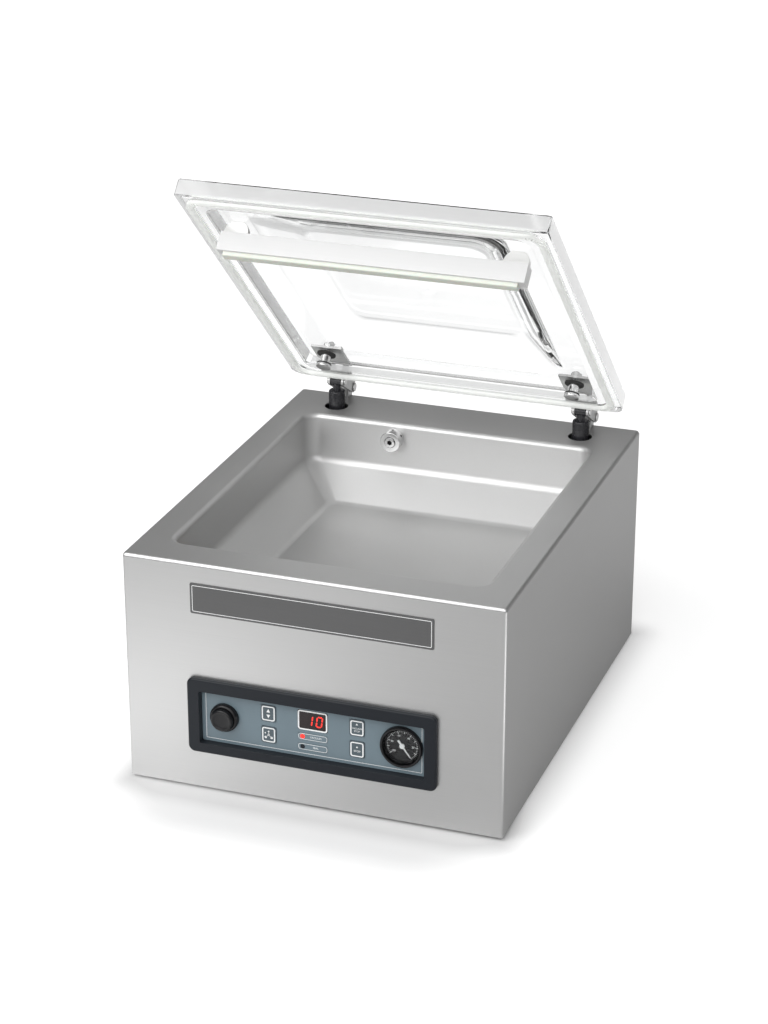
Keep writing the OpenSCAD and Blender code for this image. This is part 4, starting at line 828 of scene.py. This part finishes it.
class PACKER_OT_display(bpy.types.Operator):
    """Display with lit digits, and two lamp bars"""

    bl_idname = "packer.display"
    bl_label = "Display and lamps"

    def digit(self, value, x, z, front):
        half_w = 3.1
        half_h = 6.2
        bars = []
        for bar in DIGITS[value]:
            across, up, upright = DIGIT_BARS[bar]
            w, h = (1.5, half_h - 1.0) if upright else (2 * half_w - 1.2, 1.5)
            bars.append(slab("bar", x + across * half_w, z + up * half_h, w, h, 0.6, front, front + 0.2, 1))
        made = joined("digit", *bars)
        slant = math.tan(math.radians(8))
        for point in made.data.vertices:
            point.co.x += (point.co.z - z / 1000) * slant
        return made

    def execute(self, context):
        lens = slab("display_lens", 0, DISPLAY_Z, 35.5, 24.5, 2, -277.4, -275)
        flange = slab("flange", 0, DISPLAY_Z, 37.9, 26.9, 2, -275, -273.8)
        soften(lens, 0.3, 2, 50)
        lens = painted(joined("display_lens", lens, flange), "dark_display_lens")
        line = painted(outlined("line", 0, DISPLAY_Z, 35.3, 24.3, 3.2, 1.7, -277.46, -277.3), "white_print")
        digits = [self.digit(value, x, DISPLAY_Z, -277.45) for value, x in ((1, -3.6), (0, 8.2))]
        lit = painted(joined("lit", *digits), "lit_red")
        lens = joined("display_lens", lens, line, lit)
        kept(lens, "chassis", ["display_window"], "display_red")
        bars = []
        for z, text, lamp in ((LAMPS[0], "VACUUM", "lit_red"), (LAMPS[1], "SEAL", "dark_bezel_plastic")):
            bar = slab("bar", 0, z, 35.5, 8.5, 3, -277.4, -275)
            rim = slab("rim", 0, z, 37.9, 10.9, 3, -275, -273.8)
            soften(bar, 0.25, 2, 50)
            bars.append(painted(joined("bar", bar, rim), "slate_panel_film"))
            prints = joined("prints", outlined("line", 0, z, 34.6, 7.4, 3.0, 0.5, -277.46, -277.3),
                            words("word", text, 3.3, 3.5, z, -277.42))
            bars.append(painted(prints, "white_print"))
            spot = turned("spot", [(0, 0), (2.8, 0), (2.8, 0.2), (1.7, 0.35), (0, 0.4)], (-12.2, -277.3, z),
                          FORWARD, 24)
            bars.append(painted(spot, lamp))
        lamps = joined("lamp_bars", *bars)
        kept(lamps, "chassis", ["lamp_lenses"], "black_plastic")
        return {"FINISHED"}


class PACKER_OT_switch(bpy.types.Operator):
    """Push button in its collar"""

    bl_idname = "packer.switch"
    bl_label = "Push button"

    def execute(self, context):
        place = (-DIAL_X, PANEL_FRONT, DIAL_Z)
        collar = turned("button_collar", [
            (6.05, -15), (11, -15), (11, 0), (16.6, 0), (17, 0.4), (17, 4.2), (16.6, 5.4), (15.7, 6.4),
            (14.9, 6.9), (14.2, 7.0), (13.7, 6.7), (13.6, 6.2), (13.6, 1.5), (6.05, 1.5), (6.05, -15)], place,
            FORWARD)
        kept(collar, "chassis", ["switch_collar"], "black_plastic", "moulded_black_plastic")
        button = turned("button_cap", [
            (0, -18), (6, -18), (6, 5.8), (12.9, 5.8), (13.3, 6.2), (13.3, 10.6), (13.0, 11.8), (12.2, 12.7),
            (11.1, 13.0), (10.2, 12.8), (9.4, 12.3), (7.0, 11.9), (0, 11.7)], place, FORWARD)
        kept(button, "push_button", ["push_button"], "black_plastic", "moulded_black_plastic")
        return {"FINISHED"}


class PACKER_OT_gauge(bpy.types.Operator):
    """Vacuum gauge: case, dial with ticks and numbers, needle and glass"""

    bl_idname = "packer.gauge"
    bl_label = "Gauge"

    def polar(self, turn, r):
        return DIAL_X + r * math.cos(math.radians(turn)), DIAL_Z + r * math.sin(math.radians(turn))

    def execute(self, context):
        place = (DIAL_X, PANEL_FRONT, DIAL_Z)
        case = turned("gauge_housing", [
            (0, -38), (6, -38), (6, -26), (22, -26), (22, 0), (24.6, 0), (25, 0.5), (25, 3.8), (24.7, 5.0),
            (24.0, 5.8), (23.0, 6.0), (22.2, 5.7), (21.6, 4.6), (23.5, 3.6), (23.5, 2), (20, 2), (20, -2),
            (17, -2), (17, -23), (0, -23)], place, FORWARD)
        kept(case, "chassis", ["gauge_case"], "black_plastic", "moulded_black_plastic")
        dial = turned("gauge_face", [(1.55, -2), (19.7, -2), (19.7, -1.1), (19.6, -1.0), (1.55, -1.0),
                                     (1.55, -2)],
                      place, FORWARD)
        painted(dial, "moulded_black_plastic")
        ticks = []
        start, sweep, majors = -54, 270, 10
        for k in range(majors * 4 + 1):
            turn = start + sweep * k / (majors * 4)
            long = k % 4 == 0
            inner, outer, wide = (15.2, 18.4, 0.62) if long else (16.8, 18.4, 0.3)
            x, z = self.polar(turn, (inner + outer) / 2)
            tick = slab("tick", x, z, outer - inner, wide, 0, -276.05, -275.9)
            ticks.append(spun(tick, x, z, -math.radians(turn)))
            if k % 8 == 0:
                ticks.append(words("number", f"{k * 100 // (majors * 4)}", 3.3, *self.polar(turn, 12.6),
                                   -276.02))
        dial = joined("gauge_face", dial, painted(joined("ticks", *ticks), "white_print"))
        kept(dial, "chassis", ["gauge_dial"], "black_plastic")
        refine("gauge_needle", "gauge_pointer", "gauge_needle", 0.12, "needle_white", "white_print")
        glass = turned("gauge_lens", [(0, 2.0), (23.0, 2.0), (23.2, 2.2), (23.2, 3.2), (22.8, 3.5), (0, 3.5)],
                       place, FORWARD)
        kept(glass, "chassis", ["gauge_glass"], "gauge_glass", "clear_gauge_glass")
        glass.visible_shadow = False
        return {"FINISHED"}


# Lid


class PACKER_OT_lid(bpy.types.Operator):
    """Clear lid: milled edge, sealing rim with its groove, recess and raised middle"""

    bl_idname = "packer.lid"
    bl_label = "Clear lid"

    def station(self, side, front, rear, radii, z):
        """Ring at distances from the lid's edges, in millimetres."""
        return mm(-217 + side, -266 + front), mm(217 - side, 224 - rear), [r / 1000 for r in radii], z / 1000

    def slope(self, foot, points):
        """Rings of a raised form, from points of (share of its run, height)."""
        runs = (33, 66, 56)
        rings = []
        for share, z in points:
            r = 30 - 10 * min(max(share, 0), 1)
            rings.append(self.station(*[a + run * share for a, run in zip(foot, runs)], [r] * 4, z))
        return rings

    def execute(self, context):
        outer = eased((1.16, 332), (1, 332), (0.80, 327.6), 5)
        outer += eased((0.22, 314.8), (0, 310), (-0.14, 310), 5)
        hollow = eased((-0.12, 300), (0, 300), (0.16, 303.2), 4)
        hollow += eased((0.82, 316.4), (1, 320), (1.14, 320), 5)
        edge = sizes().lid_edge * 1000
        rings = self.slope((67, 48, 64), outer)
        for inset, z in ((edge, 310), (0.3 * edge, 310 - 0.3 * edge), (0, 310 - edge), (0, 288 + edge),
                         (0.3 * edge, 288 + 0.3 * edge), (edge, 288)):
            rings.append(self.station(inset, inset, inset, (3.2, 3.2, 14, 14), z))
        for inset, r, z in ((7.0, 20.4, 288), (7.2, 20.4, 288.3), (7.2, 20.4, 294), (16.8, 15.6, 294),
                            (16.8, 15.6, 288.3), (17.0, 15.6, 288), (26.2, 16, 288), (26.8, 16, 288.3),
                            (27.3, 16, 289), (31.8, 16, 297.6), (32.4, 16, 298.9), (33.2, 16, 299.7),
                            (34.4, 16, 300)):
            rings.append(self.station(inset, inset, inset, [r] * 4, z))
        rings += self.slope((72, 53, 69), hollow)
        low, high, radii, z = rings[0]
        lid = rounded_plane("clear_lid", low, high, z, radii[0])
        with editing(lid):
            pick("FACE", lambda f: True)
            loft("FACE", z, rings[1:])
            outward()
        holes = [rod("hole", (side * SPRING_X, 173, 285), (side * SPRING_X, 173, 315), 4.3)
                 for side in (-1, 1)]
        cut(lid, *holes)
        painted(lid, "cast_clear_acrylic", "milled_acrylic_edge_painted_glow", "milled_acrylic_side_painted_glow")
        # Slot 1 gives the milled edges their painted glow; slot 2 gives the right side a stronger painted
        # glow, where the lamps leave it in shade
        paint_faces(lid, 1, lambda f: abs(f.normal.z) < 0.3 and (
            abs(f.center.x) > 0.2165 or not -0.2655 < f.center.y < 0.2235))
        paint_faces(lid, 2, lambda f: abs(f.normal.z) < 0.3 and f.center.x > 0.2165 and f.center.y > -0.262)
        opened(lid)
        kept(lid, "lid", ["lid_shell"], "clear_acrylic", smooth=30)
        lid.visible_shadow = False
        return {"FINISHED"}


class PACKER_OT_gasket(bpy.types.Operator):
    """Gasket in the lid's groove, with a rounded lip"""

    bl_idname = "packer.gasket"
    bl_label = "Lid gasket"

    def execute(self, context):
        foot = 0.2843
        gasket = rounded_plane("gasket_ring", mm(-209.5, -258.5), mm(209.5, 216.5), foot, 0.0202)
        with editing(gasket):
            hollowed(0.009)
            bpy.ops.mesh.select_all(action="SELECT")
            extrude(0, 0, 0.0096)
            outward()
            bevel(level("z", foot), 0.0026, 4)
        kept(opened(gasket), "lid", ["lid_gasket"], "gasket_silicone", "pale_gasket_silicone")
        gasket.visible_shadow = False
        return {"FINISHED"}


class PACKER_OT_counter_bar(bpy.types.Operator):
    """Counter bar under the lid with its silicone strip and holders"""

    bl_idname = "packer.counter_bar"
    bl_label = "Counter bar"

    def execute(self, context):
        bar = block("counter_rail", (-181.6, -194, 260.8), (181.6, -176, 284.4))
        cut(bar, block("slot", (-190, -191.2, 259), (190, -178.8, 261.6)))
        soften(bar, 0.5, 3, 40)
        kept(opened(bar), "lid", ["counter_bar"], "aluminium", "white_coated_rail")
        strip = block("silicone_strip", (-173.6, -191, 255.8), (173.6, -179, 261.5))
        with editing(strip):
            bevel(lambda e: level("z", 0.2558)(e) and along("x")(e), 0.0018, 4)
        soften(strip, 0.3, 2, 50)
        kept(opened(strip), "lid", ["counter_strip"], "strip_silicone", "cream_strip_silicone")
        refine("bar_holders", "rail_holders", "lid", 0.6, "aluminium", "drawn_aluminium")
        return {"FINISHED"}


class PACKER_OT_bolts(bpy.types.Operator):
    """Lid bolts with sleeves, rings, washers and nuts"""

    bl_idname = "packer.bolts"
    bl_label = "Lid bolts"

    def execute(self, context):
        made = []
        for side in (-1, 1):
            place = (side * SPRING_X, 173, 280.6)
            bolt = turned("bolt", [
                (0, 0), (8.2, 0), (9.1, 0.4), (9.5, 1.2), (9.5, 3.4), (9.1, 4.0), (6.5, 4.0), (6.5, 17.4),
                (4.0, 17.4), (4.0, 39.7), (3.3, 40.4), (0, 40.4)], place)
            painted(bolt, "bright_polished_steel")
            ring = turned("ring", [
                (6.5, 4.05), (8.9, 4.05), (9.35, 4.5), (9.35, 5.3), (8.9, 5.8), (6.5, 5.8), (6.5, 4.05)],
                place)
            painted(ring, "matt_black_rubber")
            made += [bolt, ring]
        bolts = opened(joined("lid_bolt_set", *made))
        kept(bolts, "lid", ["lid_bolts"], "polished_steel")
        refine("bolt_nuts", "lid_nut_set", "lid", 0.4, "polished_steel", "bright_polished_steel")
        refine("bolt_washers", "lid_washer_set", "lid", 0.4, "black_rubber", "matt_black_rubber")
        return {"FINISHED"}


class PACKER_OT_hinges(bpy.types.Operator):
    """Hinge brackets, lugs and pins"""

    bl_idname = "packer.hinges"
    bl_label = "Hinges"

    def execute(self, context):
        for row in (
            ("hinge_brackets", "hinge_bracket_pair", "lid", 0.5, "stainless", "brushed_casing_steel"),
            ("spring_pins", "spring_pin_pair", "lid", 0.4, "polished_steel", "bright_polished_steel"),
            ("hinge_lugs", "hinge_lug_pair", "chassis", 0.5, "stainless", "brushed_casing_steel"),
            ("hinge_pins", "hinge_pin_pair", "chassis", 0.4, "polished_steel", "bright_polished_steel"),
        ):
            refine(*row)
        return {"FINISHED"}


class PACKER_OT_springs(bpy.types.Operator):
    """Black gas spring tubes with their end caps and eyes"""

    bl_idname = "packer.springs"
    bl_label = "Gas springs"

    def execute(self, context):
        y, z = 236.01, 316.98
        for side, node in ((-1, "spring_tube_left"), (1, "spring_tube_right")):
            x = side * SPRING_X
            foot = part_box(node)[0][2] * 1000
            tube = turned("tube", [
                (8.0, 0.5), (8.6, 0), (9.9, 0), (10.5, 0.8), (10.5, 157.4), (10.2, 158.6), (9.5, 159.5),
                (8.4, 160), (5.4, 160), (5.0, 160.4), (5.0, z - foot), (0, z - foot), (0, 155), (8.5, 155),
                (8.5, 5), (8.0, 5), (8.0, 0.5)], (x, y, foot))
            eye = turned("eye", [(3.05, -7), (5.6, -7), (6, -6.6), (6, 6.6), (5.6, 7), (3.05, 7), (3.05, -7)],
                         (x, y, z), (1, 0, 0), 48)
            tube = joined(node + "_body", cut(tube, rod("hole", (x - 9, y, z), (x + 9, y, z), 3.2)), eye)
            kept(tube, node, [node], "spring_black", "gas_spring_black")
        refine("spring_rods", "spring_rod_pair", "chassis", 0.4, "polished_steel", "bright_polished_steel")
        return {"FINISHED"}


# Chamber fittings


class PACKER_OT_port(bpy.types.Operator):
    """Suction fitting on the chamber's rear wall, with its socket screw"""

    bl_idname = "packer.port"
    bl_label = "Suction port"

    def execute(self, context):
        x, y, z = PORT
        head = turned("suction_fitting", [
            (4, -16), (6, -16), (6, -7), (10, -7), (10, -2), (6.1, -2), (6.1, 0), (12.4, 0), (13, 0.6),
            (13, 15.2), (12.7, 15.7), (12.2, 16), (7.4, 16), (6.9, 15.6), (6.8, 15), (6.8, 12), (4, 12),
            (4, -16)], PORT, FORWARD)
        for turn in range(0, 360, 60):
            out = x + 20 * math.sin(math.radians(turn)), y - 5, z + 20 * math.cos(math.radians(turn))
            cut(head, rod("hole", (x, y - 5, z), out, 1.8, 24))
        kept(head, "chassis", ["suction_port"], "polished_steel", "bright_polished_steel")
        socket = 3.4
        screw = turned("socket_screw", [(0, 12), (6.5, 12), (6.5, 16.3), (6.2, 16.8), (5.7, 17), (0, 17)],
                       PORT, FORWARD)
        cut(screw, rod("socket", (x, 170, z), (x, 185, z), socket, 6))
        # The inside of the hex socket gets the black plastic: painted shade in the recess
        painted(screw, "bright_polished_steel", "moulded_black_plastic")
        paint_faces(screw, 1, lambda f: math.hypot(f.center.x * 1000 - x, f.center.z * 1000 - z) < socket)
        kept(screw, "chassis", ["port_screw"], "polished_steel")
        return {"FINISHED"}


class PACKER_OT_seal_bar(bpy.types.Operator):
    """Seal bar with wires and tape, and the guides of its lift"""

    bl_idname = "packer.seal_bar"
    bl_label = "Seal bar"

    def execute(self, context):
        for row in (
            ("seal_bar", "seal_rail", "seal_bar", 0.5, "aluminium", "drawn_aluminium"),
            ("seal_tape", "seal_tape_strip", "seal_bar", 0.2, "tape_brown", "brown_seal_tape"),
            ("seal_wires", "seal_wire_pair", "seal_bar", 0.1, "polished_steel", "bright_polished_steel"),
            ("lift_pistons", "lift_piston_pair", "seal_bar", 0.4, "polished_steel", "bright_polished_steel"),
            ("lift_guides", "lift_guide_pair", "chassis", 0.5, "aluminium", "drawn_aluminium"),
        ):
            refine(*row)
        return {"FINISHED"}


INSIDE = {
    "lacquered_board_green": ["control_board"],
    "moulded_black_plastic": ["switch_block", "pump_vanes", "exhaust_filter", "motor_fan", "fan_cowl"],
    "matt_black_rubber": ["vacuum_hose", "pump_mounts"],
    "drawn_aluminium": ["lift_cylinders", "valve_block"],
    "painted_pump_iron": ["pump_housing", "pump_end_cover", "pump_rotor"],
    "motor_enamel": ["motor_body"],
    "bright_polished_steel": ["motor_armature"],
    "varnished_winding": ["seal_transformer"],
}


class PACKER_OT_inside(bpy.types.Operator):
    """Finishes on the solids inside the casing"""

    bl_idname = "packer.inside"
    bl_label = "Inside"

    def execute(self, context):
        for name, nodes in INSIDE.items():
            for node in nodes:
                painted(frame["nodes"][node], name)
        return {"FINISHED"}


# Stage


def lamp(name, place, target, size, watts):
    """Soft square lamp that looks at a point."""
    clear()
    aim = (Vector(target) - Vector(place)).to_track_quat("-Z", "Y").to_euler()
    bpy.ops.object.light_add(type="AREA", location=place, rotation=aim)
    light = bpy.context.object
    light.name = name
    light.data.shape = "SQUARE"
    light.data.size = size
    light.data.energy = watts
    return light


# Soft light from all round, as (towards, sharpness, strength)
STUDIO = (
    ((0, -0.8, 0.6), 4, 3.4),
    ((0, 0.862, 0.507), 4, 0.38),
    ((-0.36, 0.93, 0.05), 40, 0.8),
    ((0, 0, 1), 0.01, 0.05),
)
# Even light instead of it, behind the clear lid and behind the machine
BACKDROP = (("Transmission Depth", 0.85), ("Is Camera Ray", 1.0))
# What the floor adds for each kind of ray round a rectangle, as
# (ray, centre, half sizes, near, far, strength inside, strength outside)
FLOOR_GLOW = (
    ("Is Camera Ray", (0, 0, 0), (0.225, 0.2875, 0), -0.03, 0.05, 0.1, 0.6),
    # Painted shadow: for camera rays this takes the glow off the floor just in front of the casing
    ("Is Camera Ray", (0, -0.2875, 0), (0.125, 0, 0), 0.05, 0.15, -0.42, 0.0),
    ("Is Glossy Ray", (-0.35, -0.5, 0), (0, 0, 0), 0.0, 0.5, 0.82, 0.0),
    ("Is Glossy Ray", (0.65, -0.42, 0), (0, 0, 0), 0.0, 0.4, 2.2, 0.0),
    ("Is Transmission Ray", (-0.33, 1.1, 0), (0, 0, 0), 0.6, 1.4, 0.58, 0.2),
)


# Lamps as (place, target, size, watts)
KEY_LAMP = ((-1.5, -1.7, 2.4), (0, 0, 0.25), 1.8, 25)
CHAMBER_LAMP = ((-0.8, -1.9, 0.85), (-0.05, 0.2, 0.25), 0.8, 11)
# Camera: place, lens and sensor in millimetres, turns in degrees
CAMERA_PLACE = (972.4, -2776.9, 1501.2)
CAMERA_TURNS = (67.01, 0, 19.55)
CAMERA_LENS, CAMERA_SENSOR = 94.70, 36


class PACKER_OT_stage(bpy.types.Operator):
    """Pale floor, soft studio light and the camera"""

    bl_idname = "packer.stage"
    bl_label = "Stage"

    def gap(self, tree, place, centre, half):
        """Distance on the floor from a rectangle of half sizes round a centre."""
        away = wired(tree, "VectorMath", place, centre, operation="SUBTRACT").outputs[0]
        away = wired(tree, "VectorMath", away, operation="ABSOLUTE").outputs[0]
        away = wired(tree, "VectorMath", away, half, operation="SUBTRACT").outputs[0]
        away = wired(tree, "VectorMath", away, (0, 0, 0), operation="MAXIMUM").outputs[0]
        return wired(tree, "VectorMath", away, operation="LENGTH").outputs["Value"]

    def floor(self):
        clear()
        bpy.ops.mesh.primitive_plane_add(size=60)
        floor = settled("studio_floor")
        made = bpy.data.materials.new("studio_white")
        made.use_nodes = True
        tree = made.node_tree
        tree.nodes.clear()
        place = wired(tree, "TexCoord").outputs["Object"]
        path = wired(tree, "LightPath").outputs
        total = 0.0
        for ray, centre, half, near, far, inside, outside in FLOOR_GLOW:
            gap = self.gap(tree, place, centre, half)
            patch = wired(tree, "MapRange", gap, near, far, inside, outside, interpolation_type="SMOOTHSTEP")
            total = wired(tree, "Math", patch.outputs["Result"], path[ray], total,
                          operation="MULTIPLY_ADD").outputs[0]
        paper = wired(tree, "BsdfDiffuse", (0.75, 0.75, 0.75, 1)).outputs[0]
        total = wired(tree, "Math", total, 0.0, operation="MAXIMUM").outputs[0]
        glow = wired(tree, "Emission", None, total).outputs[0]
        wired(tree, "OutputMaterial", wired(tree, "AddShader", paper, glow).outputs[0])
        floor.data.materials.append(made)

    def world(self):
        world = bpy.data.worlds.new("studio")
        bpy.context.scene.world = world
        world.use_nodes = True
        tree = world.node_tree
        tree.nodes.clear()
        place = wired(tree, "TexCoord").outputs["Generated"]
        path = wired(tree, "LightPath").outputs
        total = 0.0
        for heading, sharpness, strength in STUDIO:
            towards = wired(tree, "VectorMath", place, heading, operation="DOT_PRODUCT").outputs["Value"]
            facing = wired(tree, "Math", towards, 0.0, operation="MAXIMUM").outputs[0]
            lobe = wired(tree, "Math", facing, sharpness, operation="POWER").outputs[0]
            total = wired(tree, "Math", lobe, strength, total, operation="MULTIPLY_ADD").outputs[0]
        for ray, strength in BACKDROP:
            total = wired(tree, "Mix", path[ray], None, total, strength).outputs[0]
        wired(tree, "OutputWorld", wired(tree, "Background", None, total).outputs[0])

    def execute(self, context):
        self.floor()
        self.world()
        lamp("key_lamp", *KEY_LAMP)
        chamber_lamp = lamp("chamber_lamp", *CHAMBER_LAMP)
        lit = bpy.data.collections.new("chamber_lit")
        lit.objects.link(bpy.data.objects["deck_and_chamber"])
        chamber_lamp.light_linking.receiver_collection = lit
        clear()
        bpy.ops.object.camera_add(location=mm(*CAMERA_PLACE),
                                  rotation=[math.radians(a) for a in CAMERA_TURNS])
        camera = bpy.context.object
        camera.data.lens = CAMERA_LENS
        camera.data.sensor_width = CAMERA_SENSOR
        context.scene.camera = camera
        context.scene.view_settings.view_transform = "Standard"
        return {"FINISHED"}


PIECES = (
    PACKER_OT_casing, PACKER_OT_deck, PACKER_OT_rear, PACKER_OT_name_plate, PACKER_OT_bezel, PACKER_OT_panel,
    PACKER_OT_keys, PACKER_OT_display, PACKER_OT_switch, PACKER_OT_gauge, PACKER_OT_lid, PACKER_OT_gasket,
    PACKER_OT_counter_bar, PACKER_OT_bolts, PACKER_OT_hinges, PACKER_OT_springs, PACKER_OT_port,
    PACKER_OT_seal_bar, PACKER_OT_inside, PACKER_OT_stage,
)


class PACKER_PT_sidebar(bpy.types.Panel):
    """Lists the pieces, sizes and colours"""

    bl_idname = "PACKER_PT_sidebar"
    bl_label = "Packing machine"
    bl_space_type = "VIEW_3D"
    bl_region_type = "UI"
    bl_category = "Packer"

    def draw(self, context):
        for piece in PIECES:
            self.layout.operator(piece.bl_idname)
        for group in (context.scene.packer_sizes, context.scene.packer_colours):
            for name in group.__annotations__:
                self.layout.prop(group, name)


CLASSES = (PackerSizes, PackerColours, *PIECES, PACKER_PT_sidebar)


def register():
    for cls in CLASSES:
        bpy.utils.register_class(cls)
    bpy.types.Scene.packer_sizes = PointerProperty(type=PackerSizes)
    bpy.types.Scene.packer_colours = PointerProperty(type=PackerColours)


def unregister():
    del bpy.types.Scene.packer_sizes
    del bpy.types.Scene.packer_colours
    for cls in reversed(CLASSES):
        bpy.utils.unregister_class(cls)


def main():
    """Registers the classes and makes every piece."""
    register()
    for piece in PIECES:
        group, name = piece.bl_idname.split(".")
        getattr(getattr(bpy.ops, group), name)()


if __name__ == "__main__":
    main()
